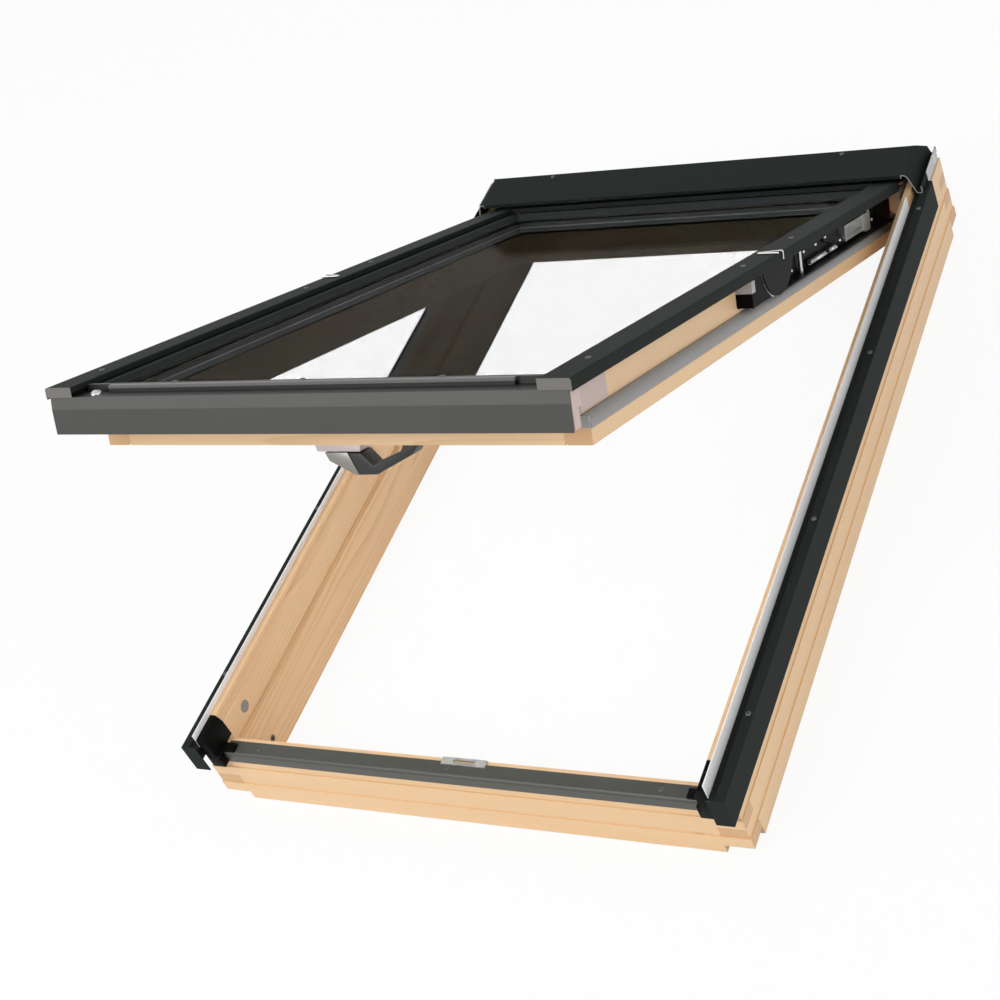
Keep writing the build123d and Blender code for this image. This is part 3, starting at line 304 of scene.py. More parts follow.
def finish(name, colour, roughness=0.36, metallic=0.0, specular=0.5, dust=0.05):
    """A material with the shared surface finish in one colour."""
    values = {"Color": (*colour, 1.0), "Roughness": roughness, "Dust": dust}
    material, tree, shader = surface_material(name, surface_finish, values, PEEL_RELIEF)
    shader.inputs["Metallic"].default_value = metallic
    shader.inputs["Specular IOR Level"].default_value = specular
    return material


paint(finish("grey plugs", PLUG_GREY, 0.5), "jamb_plugs")
paint(finish("grey bushings", BUSHING_GREY, 0.5), "jamb_bushings")


# Side covers and rail cover of the frame
# Folded aluminium sheet with a satin anthracite coating, screwed down on the timber. Each
# side cover drains into its own gutter; the rail cover is bent round the bottom rail.
ANTHRACITE = (0.020, 0.025, 0.022)
RAIL_GREY = (0.057, 0.060, 0.049)


def anthracite(name):
    """The coating of the folded sheets, dull enough to stay dark when it is seen edge-on."""
    return finish(name, ANTHRACITE, 0.5, specular=0.03)


cladding = anthracite("anthracite coating")
paint(cladding, "frame_side_cover_left", "frame_side_cover_right")
paint(finish("rail cover coating", RAIL_GREY), "frame_rail_cover")


# Upstands
# Pale coated rails that stand on the jambs inside the gutter, against the lip of the pine.
UPSTAND_WHITE = (0.97, 0.96, 0.96)
paint(finish("pale rail coating", UPSTAND_WHITE, 0.50, dust=0.0), "frame_upstand_left",
      "frame_upstand_right")


# Corner blocks
# Black mouldings that close the foot of each jamb, with slightly rounded edges.
BLOCK_BLACK = (0.0030, 0.0030, 0.0028)
BLOCK_ROUND = 0.0009
SAME_CORNER = 1e-5                # corners of the CAD mesh closer than this are one
FLAT_BELOW = radians(1)
ROUNDED_FROM = radians(28)
SHARP_FROM = radians(35)


def add_object(name, data):
    """A new object at the origin, in the scene."""
    item = bpy.data.objects.new(name, data)
    bpy.context.scene.collection.objects.link(item)
    return item


def smooth_piece(name, shape):
    """A piece from a bmesh shape, shaded smooth up to its folds."""
    mesh = bpy.data.meshes.new(name)
    shape.to_mesh(mesh)
    shape.free()
    mesh.shade_smooth()
    mesh.set_sharp_from_angle(angle=SHARP_FROM)
    return add_object(name, mesh)


def rounded_copy(node, name, width, segments=2):
    """A copy of a CAD node's mesh, merged and with its sharp edges rounded."""
    shape = bmesh.new()
    shape.from_mesh(nodes[node].data)
    bmesh.ops.remove_doubles(shape, verts=shape.verts, dist=SAME_CORNER)
    bmesh.ops.dissolve_limit(shape, angle_limit=FLAT_BELOW, verts=shape.verts, edges=shape.edges)
    edges = [edge for edge in shape.edges
             if edge.is_manifold and edge.calc_face_angle() > ROUNDED_FROM]
    bmesh.ops.bevel(shape, geom=edges, offset=width, offset_type="OFFSET", segments=segments,
                    profile=0.5, affect="EDGES", clamp_overlap=True)
    return smooth_piece(name, shape)


def finished(piece, material, body, slot, *replaced):
    """Gives a piece its material, the body it rides on and the nodes it stands for. The slot is
    not used.
    """
    piece.data.materials.clear()
    piece.data.materials.append(material)
    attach(piece, body)
    if replaced:
        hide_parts(*replaced)
    return piece


def black_moulding(name):
    return finish(name, BLOCK_BLACK, 0.45, specular=0.06, dust=0.01)


block_black = black_moulding("black moulding")
for hand in ("left", "right"):
    block = rounded_copy("corner_block_" + hand, "moulded_corner_block_" + hand, BLOCK_ROUND)
    finished(block, block_black, "frame", "black_moulding", "corner_block_" + hand)


# Keeper and galvanised plates
# The slotted keeper on the bottom rail, the hinge plates with their pins and the angles
# that carry the hood are cut from galvanised sheet, with the mottle of the zinc.
ZINC_DARK = (0.40, 0.41, 0.41)
ZINC_LIGHT = (0.58, 0.59, 0.57)
ZINC_METALLIC = 0.85
MOTTLE_SCALE = 130.0


def galvanised_steel():
    """Zinc whose crystals differ a little in tone and gloss."""
    material, tree, shader = material_with_shader("galvanised sheet")
    cells = tree.nodes.new("ShaderNodeTexVoronoi")
    cells.inputs["Scale"].default_value = MOTTLE_SCALE
    tree.links.new(place_pattern(tree), cells.inputs["Vector"])
    channels = tree.nodes.new("ShaderNodeSeparateColor")
    tree.links.new(cells.outputs["Color"], channels.inputs[0])
    grey = channels.outputs[0]
    tone = ramp_node(tree, grey, [(0.0, ZINC_DARK), (1.0, ZINC_LIGHT)])
    tree.links.new(tone, shader.inputs["Base Color"])
    tree.links.new(scaled(tree, grey, 0.15, 0.36), shader.inputs["Roughness"])
    shader.inputs["Metallic"].default_value = ZINC_METALLIC
    return material


paint(galvanised_steel(), "hood_brackets", "striker_plate", "hinge_bracket_left",
      "hinge_bracket_right")


# Hood
# One folded sheet over the head of the frame. A thin light line is painted along its front
# edge and down the swept ends: partly the bare cut edge, partly a painted highlight.
BARE_EDGE_AND_HIGHLIGHT_GREY = (0.36, 0.37, 0.37)
EDGE_LINE_DEPTH = 0.0003
HOOD_LIP = 0.0066                 # the painted light line runs from here down, measured from the top
HOOD_END = 0.0280                 # and at its full height this far in from each end


def hood_coating():
    """The coating of the folded sheets, with a light line painted along the front edge: bare cut
    edge and painted highlight.
    """
    material = anthracite("hood coating")
    tree = material.node_tree
    low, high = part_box("hood")
    x, y, z = axes_of(tree, place_pattern(tree))
    # bare: the lowest strip of the front face and its ends, painted light as bare cut edge and
    # painted highlight
    front = math_node(tree, "LESS_THAN", y, low.y + EDGE_LINE_DEPTH)
    below_lip = math_node(tree, "LESS_THAN", z, high.z - HOOD_LIP)
    past_lip = math_node(tree, "GREATER_THAN", math_node(tree, "ABSOLUTE", x), high.x - HOOD_END)
    bare = math_node(tree, "MULTIPLY", front, math_node(tree, "MAXIMUM", below_lip, past_lip))
    recolour(material, bare, BARE_EDGE_AND_HIGHLIGHT_GREY)
    return material


paint(hood_coating(), "hood")


# Screws of the frame's cladding
# Dark zinc plated screws with domed heads and a cross recess, driven through the sheet.
MIDDLE_Y = 0.58025                # from the foot of the frame's timber to the shared origin
SCREW = {
    "Radius": 0.0036, "Height": 0.0016,
    "Slot Length": 0.0042, "Slot Width": 0.0010, "Slot Depth": 0.0016,
}
SCREW_TURN = 0.7                  # each head has turned this much further than the one before
SIDE_SCREW_X = 0.3846
SIDE_SCREW_Y = (0.107, 0.41967, 0.73233, 1.045)
SIDE_SCREW_Z = 0.136
RAIL_SCREW_X = (-0.294, 0.0, 0.294)
RAIL_SCREW_Y = 0.010
RAIL_SCREW_Z = 0.105
HOOD_SCREW = (0.250, 1.1466, 0.1710)
GROWN_SHARP_FROM = radians(40)


def new_tree(name, *sizes):
    """A geometry tree with a named input for each size, and its inputs."""
    tree = bpy.data.node_groups.new(name, "GeometryNodeTree")
    tree.interface.new_socket("Points", in_out="INPUT", socket_type="NodeSocketGeometry")
    for label in sizes:
        tree.interface.new_socket(label, in_out="INPUT", socket_type="NodeSocketFloat")
    tree.interface.new_socket("Finish", in_out="INPUT", socket_type="NodeSocketMaterial")
    tree.interface.new_socket("Geometry", in_out="OUTPUT", socket_type="NodeSocketGeometry")
    return tree, tree.nodes.new("NodeGroupInput").outputs


def geometry_node(tree, kind, inputs, **settings):
    """The first output of a new node, after its settings and its inputs are made."""
    node = tree.nodes.new(kind)
    for key, value in settings.items():
        setattr(node, key, value)
    for label, value in inputs.items():
        feed(tree, node.inputs[label], value)
    return node.outputs[0]


def vector_of(tree, x, y, z):
    return geometry_node(tree, "ShaderNodeCombineXYZ", {"X": x, "Y": y, "Z": z})


def raised(tree, shape, height):
    """The shape moved up its own axis."""
    lift = vector_of(tree, 0.0, 0.0, height)
    return geometry_node(tree, "GeometryNodeTransform", {"Geometry": shape, "Translation": lift})


def dome(tree, given, segments, rings):
    """A ball as wide and as high as the tree's Radius and Height, centred on its foot."""
    ball = geometry_node(tree, "GeometryNodeMeshUVSphere", {
        "Segments": segments, "Rings": rings, "Radius": 1.0,
    })
    size = vector_of(tree, given["Radius"], given["Radius"], given["Height"])
    return geometry_node(tree, "GeometryNodeTransform", {"Geometry": ball, "Scale": size})


def on_points(tree, points, shape):
    """The shape set on every point, with that point's turn."""
    turn = geometry_node(tree, "GeometryNodeInputNamedAttribute", {"Name": "turn"},
                         data_type="FLOAT_VECTOR")
    angle = geometry_node(tree, "FunctionNodeEulerToRotation", {"Euler": turn})
    return geometry_node(tree, "GeometryNodeInstanceOnPoints", {
        "Points": points, "Instance": shape, "Rotation": angle,
    })


def close_tree(tree, given, shape):
    """Ends a tree with plain, smooth geometry in the material that it is given."""
    real = geometry_node(tree, "GeometryNodeRealizeInstances", {"Geometry": shape})
    smooth = geometry_node(tree, "GeometryNodeSetShadeSmooth", {"Geometry": real})
    coloured = geometry_node(tree, "GeometryNodeSetMaterial", {
        "Geometry": smooth, "Material": given["Finish"],
    })
    tree.links.new(coloured, tree.nodes.new("NodeGroupOutput").inputs[0])
    return tree


def build_head_tree(name, cross):
    """Domed head with a straight or a crossed recess."""
    tree, given = new_tree(name, "Radius", "Height", "Slot Length", "Slot Width", "Slot Depth")
    shape = dome(tree, given, 28, 14)
    sizes = [(given["Slot Length"], given["Slot Width"])]
    if cross:
        sizes.append((given["Slot Width"], given["Slot Length"]))
    for across, along in sizes:
        bar = geometry_node(tree, "GeometryNodeMeshCube", {
            "Size": vector_of(tree, across, along, given["Slot Depth"]),
        })
        slot = raised(tree, bar, given["Height"])
        shape = geometry_node(tree, "GeometryNodeMeshBoolean", {0: shape, 1: slot},
                              operation="DIFFERENCE")
    return close_tree(tree, given, on_points(tree, given["Points"], shape))


def grown(tree, name, spots, sizes, material, edges=()):
    """Runs a tree on places with their own turn each, and keeps the result as a plain mesh."""
    seed = bpy.data.meshes.new(name + " seed")
    seed.from_pydata([tuple(place) for place, turn in spots], list(edges), [])
    attribute = seed.attributes.new("turn", "FLOAT_VECTOR", "POINT")
    for index, (place, turn) in enumerate(spots):
        attribute.data[index].vector = turn
    carrier = add_object(name + " carrier", seed)
    modifier = carrier.modifiers.new("tree", "NODES")
    modifier.node_group = tree
    settings = dict(sizes, Finish=material)
    for socket in tree.interface.items_tree:
        if socket.item_type == "SOCKET" and socket.in_out == "INPUT" and socket.name in settings:
            modifier[socket.identifier] = settings[socket.name]
    depsgraph = bpy.context.evaluated_depsgraph_get()
    mesh = bpy.data.meshes.new_from_object(carrier.evaluated_get(depsgraph))
    mesh.set_sharp_from_angle(angle=GROWN_SHARP_FROM)
    bpy.data.objects.remove(carrier)
    return add_object(name, mesh)


cross_head = build_head_tree("cross recessed heads", True)
screw_steel = finish("screw steel", (0.13, 0.14, 0.13), 0.32, 0.7)
frame_screws = [(side * SIDE_SCREW_X, y, SIDE_SCREW_Z) for side in (-1, 1) for y in SIDE_SCREW_Y]
frame_screws += [(x, RAIL_SCREW_Y, RAIL_SCREW_Z) for x in RAIL_SCREW_X]
frame_screws += [(side * HOOD_SCREW[0], *HOOD_SCREW[1:]) for side in (-1, 1)]
frame_spots = [((x, y - MIDDLE_Y, z), (0, 0, SCREW_TURN * index))
               for index, (x, y, z) in enumerate(frame_screws)]
heads = grown(cross_head, "frame_screw_heads", frame_spots, SCREW, screw_steel)
finished(heads, screw_steel, "frame", "screw_steel", "frame_screws")


# Sash timber
# Pine of the same kind, in the plane of the opened sash, so the grain turns with it. The
# flange along the bottom carries the seal, and a pocket is routed for the pivot.
hinge = frame["joints"][0]
HINGE_PLACE = Vector(hinge["pos_m"])
OPEN_ANGLE = radians(-hinge["range_deg"][0])
OPENED = Matrix.Rotation(-OPEN_ANGLE, 3, "X")
SASH_ALONG = (-OPEN_ANGLE, 0, 0)
SASH_ACROSS = tuple((OPENED @ Matrix.Rotation(pi / 2, 3, "Z")).to_euler())
STILE_RINGS = 0.0026
SASH_RAIL_RINGS = 0.0028


def on_sash(x, y, z):
    """A place on the closed sash, in metres from the frame's foot, swung open about the hinge."""
    arm = Vector((x, y - MIDDLE_Y, z)) - HINGE_PLACE
    arm.rotate(OPENED)
    return HINGE_PLACE + arm


paint(pine("pine of the right stile", (0.33, -0.1, 0.33), SASH_ALONG, STILE_RINGS, 0.3),
      "sash_stile_right")
paint(pine("pine of the left stile", (-0.34, -0.1, 0.33), SASH_ALONG, STILE_RINGS, 0.3),
      "sash_stile_left")
paint(pine("pine of the sash rails", (0, -0.4, 0.52), SASH_ACROSS, SASH_RAIL_RINGS, 0.4),
      "sash_bottom_rail", "sash_head_rail")


# Seals
# Grey bulb seals of soft rubber lie on the stiles' flanges and along the bottom rail.
SEAL_GREY = (0.36, 0.35, 0.34)
paint(finish("grey seal rubber", SEAL_GREY, 0.5), "sash_seal_left", "sash_seal_right",
      "sash_front_seal")


# Glazing
# Two toughened panes with a dark body tint, sealed round an aluminium spacer whose inner
# face is pierced with a row of fine holes for the drying agent.
GLASS_TINT = (0.225, 0.260, 0.275)
GLASS_IOR = 1.005                 # as an anti-reflective coat: the photo shows no mirror image
TINT_DRIFT = 0.005
SPACER_GREY = (0.058, 0.062, 0.060)
HOLE_PALE = (0.65, 0.66, 0.66)
HOLE_SIZES = {"Pitch": 0.0034, "Radius": 0.0008}
SPACER_INNER_X = 0.2919
SPACER_LOW_Y = 0.0501
SPACER_HIGH_Y = 1.0619
SPACER_MIDDLE_Z = 0.116
TO_FOOT = (pi / 2 - OPEN_ANGLE, 0, 0)
TO_HEAD = (-pi / 2 - OPEN_ANGLE, 0, 0)
TO_RIGHT = (0, pi / 2, 0)
TO_LEFT = (0, -pi / 2, 0)


def tinted_glass():
    """Clear glass with a body tint that drifts a little over the pane."""
    material, tree, shader = material_with_shader("tinted glass")
    drift = noise_node(tree, place_pattern(tree), 2.0, 3.0)
    low = tuple((1 - TINT_DRIFT) * channel for channel in GLASS_TINT)
    high = tuple((1 + TINT_DRIFT) * channel for channel in GLASS_TINT)
    tree.links.new(ramp_node(tree, drift, [(0.3, low), (0.7, high)]), shader.inputs["Base Color"])
    shader.inputs["Transmission Weight"].default_value = 1.0
    shader.inputs["Roughness"].default_value = 0.0
    shader.inputs["IOR"].default_value = GLASS_IOR
    return material


def build_perforation_tree():
    """Small holes at an even pitch along lines: pale discs just off the metal."""
    tree, given = new_tree("spacer perforations", "Pitch", "Radius")
    line = geometry_node(tree, "GeometryNodeMeshToCurve", {"Mesh": given["Points"]})
    dots = geometry_node(tree, "GeometryNodeCurveToPoints", {
        "Curve": line, "Length": given["Pitch"],
    }, mode="LENGTH")
    disc = geometry_node(tree, "GeometryNodeMeshCircle", {
        "Vertices": 8, "Radius": given["Radius"],
    }, fill_type="NGON")
    return close_tree(tree, given, on_points(tree, dots, disc))


paint(tinted_glass(), "inner_pane", "outer_pane")
paint(finish("spacer aluminium", SPACER_GREY, 0.5, specular=0.05), "spacer_frame")
hole_rows = (
    ((-SPACER_INNER_X, SPACER_HIGH_Y), (SPACER_INNER_X, SPACER_HIGH_Y), TO_FOOT),
    ((-SPACER_INNER_X, SPACER_LOW_Y), (SPACER_INNER_X, SPACER_LOW_Y), TO_HEAD),
    ((-SPACER_INNER_X, SPACER_LOW_Y), (-SPACER_INNER_X, SPACER_HIGH_Y), TO_RIGHT),
    ((SPACER_INNER_X, SPACER_LOW_Y), (SPACER_INNER_X, SPACER_HIGH_Y), TO_LEFT),
)
row_ends = [(on_sash(x, y, SPACER_MIDDLE_Z), turn)
            for start, end, turn in hole_rows for x, y in (start, end)]
hole_pale = finish("spacer holes", HOLE_PALE, 0.5)
holes = grown(build_perforation_tree(), "spacer_perforations", row_ends, HOLE_SIZES, hole_pale,
              edges=((0, 1), (2, 3), (4, 5), (6, 7)))
finished(holes, hole_pale, "sash", "spacer")


# Glazing beads
# Extruded beads with two round ribs hold the panes down along the sides and the head.
BEAD_GREY = (0.030, 0.034, 0.034)
paint(finish("bead coating", BEAD_GREY, 0.45, specular=0.04), "side_bead_left", "side_bead_right",
      "top_bead")


# Sash covers
# Folded covers on the stiles, split at the pivot, and one over the head rail. The closed
# front ends of the lower pair are folded caps, painted a lighter grey as a painted highlight.
CAP_HIGHLIGHT_GREY = (0.175, 0.168, 0.158)
COVER_FRONT_Y = -0.0373
CAP_DEPTH = 0.0009


def sash_area(material, y, z, *limits):
    """1 where every limit holds. Each is an axis of the sash, a test and how far from y, z."""
    tree = material.node_tree
    axes = axes_of(tree, place_pattern(tree, on_sash(0, y, z), SASH_ALONG))
    tests = [math_node(tree, test, axes[axis], limit) for axis, test, limit in limits]
    area = tests[0]
    for test in tests[1:]:
        area = math_node(tree, "MULTIPLY", area, test)
    return area


cover_coating = anthracite("cover coating")
# painted highlight: the closed front ends of the lower covers are painted a lighter grey
cap_highlight_area = sash_area(cover_coating, COVER_FRONT_Y, 0, ("Y", "LESS_THAN", CAP_DEPTH))
recolour(cover_coating, cap_highlight_area, CAP_HIGHLIGHT_GREY)
paint(cover_coating, "sash_side_cover_left", "sash_side_cover_right")
paint(cladding, "upper_side_cover_left", "upper_side_cover_right", "head_cover")


# Cover gaskets
# A black foam strip with a round top stands on the wall of each stile. It closes the slot
# under the folded cover, so that no daylight shows between the bead and the cover.
GASKET_BLACK = (0.008, 0.008, 0.008)
GASKET_X = 0.3150
GASKET_HALF = 0.0022
GASKET_ENDS = (-0.030, 1.020)
GASKET_LOW = 0.1331
GASKET_HIGH = 0.1453
GASKET_ARC_STEPS = 8


def gasket(name, side):
    """One strip along the stile: a flat foot and a half round top, closed at both ends."""
    outline = [(-GASKET_HALF, GASKET_LOW), (GASKET_HALF, GASKET_LOW)]
    for step in range(GASKET_ARC_STEPS + 1):
        angle = pi * step / GASKET_ARC_STEPS
        rise = GASKET_HALF * sin(angle)
        outline.append((GASKET_HALF * cos(angle), GASKET_HIGH - GASKET_HALF + rise))
    shape = bmesh.new()
    foot, head = ([shape.verts.new(on_sash(side * GASKET_X + x, y, z)) for x, z in outline]
                  for y in GASKET_ENDS)
    for index in range(len(outline)):
        following = (index + 1) % len(outline)
        shape.faces.new((foot[index], foot[following], head[following], head[index]))
    shape.faces.new(foot[::-1])
    shape.faces.new(head)
    bmesh.ops.recalc_face_normals(shape, faces=shape.faces)
    return smooth_piece(name, shape)


gasket_foam = finish("gasket foam", GASKET_BLACK, 0.7, specular=0.04, dust=0.0)
for side, hand in ((-1, "left"), (1, "right")):
    finished(gasket("cover_gasket_" + hand, side), gasket_foam, "sash", "black_seal")


# Apron, bar and end plates
# The extruded apron sheds the water in front of the bottom rail. A grey bar screwed to its
# shelf backs the black rubber at the edge of the pane; bare plates close its ends.
APRON_GREY = (0.050, 0.051, 0.045)
APRON_LIT_BAND_GREY = (0.068, 0.067, 0.062)
APRON_BAND_Z = 0.1205             # the upper band of the front is painted a little lighter from here, as painted light
SHELF_RISE = 0.0139               # the painted shade of the shelf's groove starts this far above the band's foot
SHELF_BACK = -0.0345              # and behind this line
BAR_GREY = (0.135, 0.132, 0.125)
BAR_FOOT_Z = 0.1392               # below this the bar is painted black, as the painted shade of the groove
GROOVE_SHADE_BLACK = (0.006, 0.006, 0.006)
RUBBER_BLACK = (0.010, 0.010, 0.009)
PLATE_BARE = (0.66, 0.52, 0.48)
apron_coating = finish("apron coating", APRON_GREY, 0.42, specular=0.4)
# painted light: the upper band of the apron, with its creases, is painted lighter as if lit from
# above
lit_band_area = sash_area(apron_coating, 0, APRON_BAND_Z, ("Z", "GREATER_THAN", 0.0))
# painted shade: the shelf behind the apron's front is painted black, as the shadow in the groove
shelf_shade_area = sash_area(apron_coating, 0, APRON_BAND_Z, ("Y", "GREATER_THAN", SHELF_BACK),
                       ("Z", "GREATER_THAN", SHELF_RISE))
recolour(apron_coating, lit_band_area, APRON_LIT_BAND_GREY)
recolour(apron_coating, shelf_shade_area, GROOVE_SHADE_BLACK)
bar_coating = finish("grey bar", BAR_GREY, 0.33)
# painted shade: the foot of the bar is painted the same black as the groove
bar_foot_shade_area = sash_area(bar_coating, 0, BAR_FOOT_Z, ("Z", "LESS_THAN", 0.0))
recolour(bar_coating, bar_foot_shade_area, GROOVE_SHADE_BLACK)
paint(apron_coating, "apron")
paint(bar_coating, "bottom_bar")
paint(finish("black seal rubber", RUBBER_BLACK, 0.40), "edge_seal")
paint(finish("bare plate", PLATE_BARE, 0.48, 0.25), "end_plate_left", "end_plate_right")


# Screws of the sash
# The same screws as on the frame, and one large slotted drain screw on the apron's shelf.
COVER_SCREW_X = 0.3295
COVER_SCREW_Y = (0.045, 0.490)
COVER_SCREW_Z = 0.147
BAR_SCREW_X = (-0.180, 0.0, 0.180)
BAR_SCREW_Y = -0.00405
BAR_SCREW_Z = 0.1429
DRAIN_SCREW_PLACE = (-0.285, -0.022, 0.1349)
DRAIN_SCREW = {
    "Radius": 0.0074, "Height": 0.0050,
    "Slot Length": 0.016, "Slot Width": 0.0016, "Slot Depth": 0.0040,
}
sash_screws = [(side * COVER_SCREW_X, y, COVER_SCREW_Z)
               for side in (-1, 1) for y in COVER_SCREW_Y]
sash_screws += [(x, BAR_SCREW_Y, BAR_SCREW_Z) for x in BAR_SCREW_X]
sash_spots = [(on_sash(*place), SASH_ALONG) for place in sash_screws]
heads = grown(cross_head, "sash_screw_heads", sash_spots, SCREW, screw_steel)
finished(heads, screw_steel, "sash", "screw_steel", "sash_screws")

zinc = finish("zinc plated steel", (0.62, 0.62, 0.60), 0.24, 0.95)
drain = grown(build_head_tree("slotted heads", False), "drain_screw_head",
              [(on_sash(*DRAIN_SCREW_PLACE), SASH_ALONG)], DRAIN_SCREW, zinc)
finished(drain, zinc, "sash", "bright_steel", "drain_screw")


# Cover clips
# Hairpins of bright spring wire that lie across the covers beside the pivot.
CLIP_SIZES = {"Radius": 0.0012, "Bend": 0.0018}
CLIP_LINE = (
    (0.3502, 0.574, 0.1372), (0.3502, 0.574, 0.1483), (0.3140, 0.561, 0.1483),
    (0.3502, 0.559, 0.1483),
)


def tube_along(tree, curve, radius, around):
    """A round tube along a curve, closed at both ends, with so many faces around."""
    ring = geometry_node(tree, "GeometryNodeCurvePrimitiveCircle", {
        "Resolution": around, "Radius": radius,
    })
    return geometry_node(tree, "GeometryNodeCurveToMesh", {
        "Curve": curve, "Profile Curve": ring, "Fill Caps": True,
    })


def build_wire_tree():
    """A round wire along bent lines, with its corners rounded."""
    tree, given = new_tree("bent wire", "Radius", "Bend")
    line = geometry_node(tree, "GeometryNodeMeshToCurve", {"Mesh": given["Points"]})
    bent = geometry_node(tree, "GeometryNodeFilletCurve", {
        "Curve": line, "Radius": given["Bend"], "Count": 6, "Limit Radius": True,
    }, mode="POLY")
    return close_tree(tree, given, tube_along(tree, bent, given["Radius"], 10))


clip_spots = [(on_sash(side * x, y, z), NO_TURN) for side in (-1, 1) for x, y, z in CLIP_LINE]
clips = grown(build_wire_tree(), "wire_clips", clip_spots, CLIP_SIZES, zinc,
              edges=((0, 1), (1, 2), (2, 3), (4, 5), (5, 6), (6, 7)))
finished(clips, zinc, "sash", "bright_steel", "cover_clips")


# Side arms
# Pressed channels with a dark coating carry the sash from the hinge. On the web sit two
# coil springs, a stud, links and rivets, and a bright locking slider.
ARM_BLACK = (0.0045, 0.0050, 0.0050)
SLIDER_BRIGHT = (0.52, 0.52, 0.50)
ALONG_ARM = (-pi / 2 - OPEN_ANGLE, 0, 0)
SPRING_X = 0.3274
SPRING_Z = 0.101
SPRING_SIZES = {"Radius": 0.0036, "Wire": 0.0010}
SPRING_ROD = 0.0026
SPRINGS = (("long", 0.7255, 0.0640, 12.0), ("short", 0.8035, 0.0290, 6.0))
STUD_Y = 0.693
STUD_Z = 0.0945
STUD_SIZES = {"Radius": 0.0032, "Length": 0.034}
# the bar and two collars: share of the length, place of the middle, share of the radius
STUD_PARTS = ((1.0, 0.5, 0.8), (0.14, 0.07, 1.0), (0.14, 0.93, 1.0))
RIVET_SIZES = {"Radius": 0.0032, "Height": 0.0028}
WEB_X = 0.3225
LINK_X = 0.3255
WEB_RIVETS = ((0.655, 0.118), (0.668, 0.102), (1.000, 0.120), (1.016, 0.103))
LINK_RIVETS = ((0.712, 0.119), (0.760, 0.119), (0.800, 0.121), (0.860, 0.104))
UPPER_SCREW_Y = 0.6636


def joined(tree, *shapes):
    node = tree.nodes.new("GeometryNodeJoinGeometry")
    for shape in shapes:
        tree.links.new(shape, node.inputs[0])
    return node.outputs[0]


def round_bar(tree, radius, length, middle, around):
    """A round bar along its own axis, with its middle at a height."""
    bar = geometry_node(tree, "GeometryNodeMeshCylinder", {
        "Vertices": around, "Radius": radius, "Depth": length,
    })
    return raised(tree, bar, middle)


def build_spring_tree():
    """A coil of round wire round a rod, its axis along each point's own turn."""
    tree, given = new_tree("coil springs", "Radius", "Wire", "Turns", "Length")
    coil = geometry_node(tree, "GeometryNodeCurveSpiral", {
        "Resolution": 18, "Rotations": given["Turns"], "Start Radius": given["Radius"],
        "End Radius": given["Radius"], "Height": given["Length"],
    })
    wire = tube_along(tree, coil, given["Wire"], 8)
    half = math_node(tree, "MULTIPLY", given["Length"], 0.5)
    rod = round_bar(tree, SPRING_ROD, given["Length"], half, 16)
    return close_tree(tree, given, on_points(tree, given["Points"], joined(tree, wire, rod)))


def build_stud_tree():
    """A turned stud: a bar with a collar at each end."""
    tree, given = new_tree("turned studs", "Radius", "Length")
    bars = []
    for length_share, middle_share, radius_share in STUD_PARTS:
        radius = math_node(tree, "MULTIPLY", given["Radius"], radius_share)
        length = math_node(tree, "MULTIPLY", given["Length"], length_share)
        middle = math_node(tree, "MULTIPLY", given["Length"], middle_share)
        bars.append(round_bar(tree, radius, length, middle, 20))
    return close_tree(tree, given, on_points(tree, given["Points"], joined(tree, *bars)))


def build_rivet_tree():
    """Plain domed rivet heads."""
    tree, given = new_tree("rivets", "Radius", "Height")
    return close_tree(tree, given, on_points(tree, given["Points"], dome(tree, given, 18, 10)))


arm_black = finish("black coated steel", ARM_BLACK, 0.40, specular=0.06, dust=0.01)
paint(arm_black, "side_arm_left", "side_arm_right", "arm_links")
paint(finish("bright slider", SLIDER_BRIGHT, 0.28, 0.9), "arm_slider_left", "arm_slider_right")

spring_tree = build_spring_tree()
for label, start, length, turns in SPRINGS:
    spots = [(on_sash(side * SPRING_X, start, SPRING_Z), ALONG_ARM) for side in (-1, 1)]
    sizes = dict(SPRING_SIZES, Turns=turns, Length=length)
    springs = grown(spring_tree, label + "_coil_springs", spots, sizes, zinc)
    finished(springs, zinc, "arms", "bright_steel", "arm_springs")

stud_spots = [(on_sash(side * SPRING_X, STUD_Y, STUD_Z), SASH_ALONG) for side in (-1, 1)]
studs = grown(build_stud_tree(), "arm_studs", stud_spots, STUD_SIZES, zinc)
finished(studs, zinc, "arms", "bright_steel")

rivet_spots = [
    (on_sash(side * x, y, z), (0, side * pi / 2, 0)) for side in (-1, 1)
    for x, places in ((WEB_X, WEB_RIVETS), (LINK_X, LINK_RIVETS)) for y, z in places
]
rivets = grown(build_rivet_tree(), "arm_rivet_heads", rivet_spots, RIVET_SIZES, zinc)
finished(rivets, zinc, "arms", "bright_steel", "arm_rivets")

paint(screw_steel, "upper_cover_screws")
upper_spots = [(on_sash(side * COVER_SCREW_X, UPPER_SCREW_Y, COVER_SCREW_Z), SASH_ALONG)
               for side in (-1, 1)]
heads = grown(cross_head, "upper_cover_screw_heads", upper_spots, SCREW, screw_steel)
finished(heads, screw_steel, "arms", "screw_steel", "upper_cover_screws")


# Arc pivots
# A curved rib on the sash runs in the groove of the black housing, and a bright strip on
# the sash hugs the housing's round rim. Black feet hold the strips in the pocket.
STRIP_BRIGHT = (0.50, 0.51, 0.50)
FOOT_PLATE = (0.46, 0.46, 0.44)
FOOT_PLATE_Y = 0.500              # a bright plate faces the foot below this line
FOOT_PLATE_Z = 0.112              # and from here up
foot_moulding = black_moulding("pivot foot moulding")
plate_area = sash_area(foot_moulding, FOOT_PLATE_Y, FOOT_PLATE_Z, ("Y", "LESS_THAN", 0.0),
                       ("Z", "GREATER_THAN", 0.0))
recolour(foot_moulding, plate_area, FOOT_PLATE)
paint(finish("bright pivot strip", STRIP_BRIGHT, 0.26, 0.9), "pivot_cups")
paint(arm_black, "pivot_rib_plates")
paint(foot_moulding, "pivot_foot_left", "pivot_foot_right")


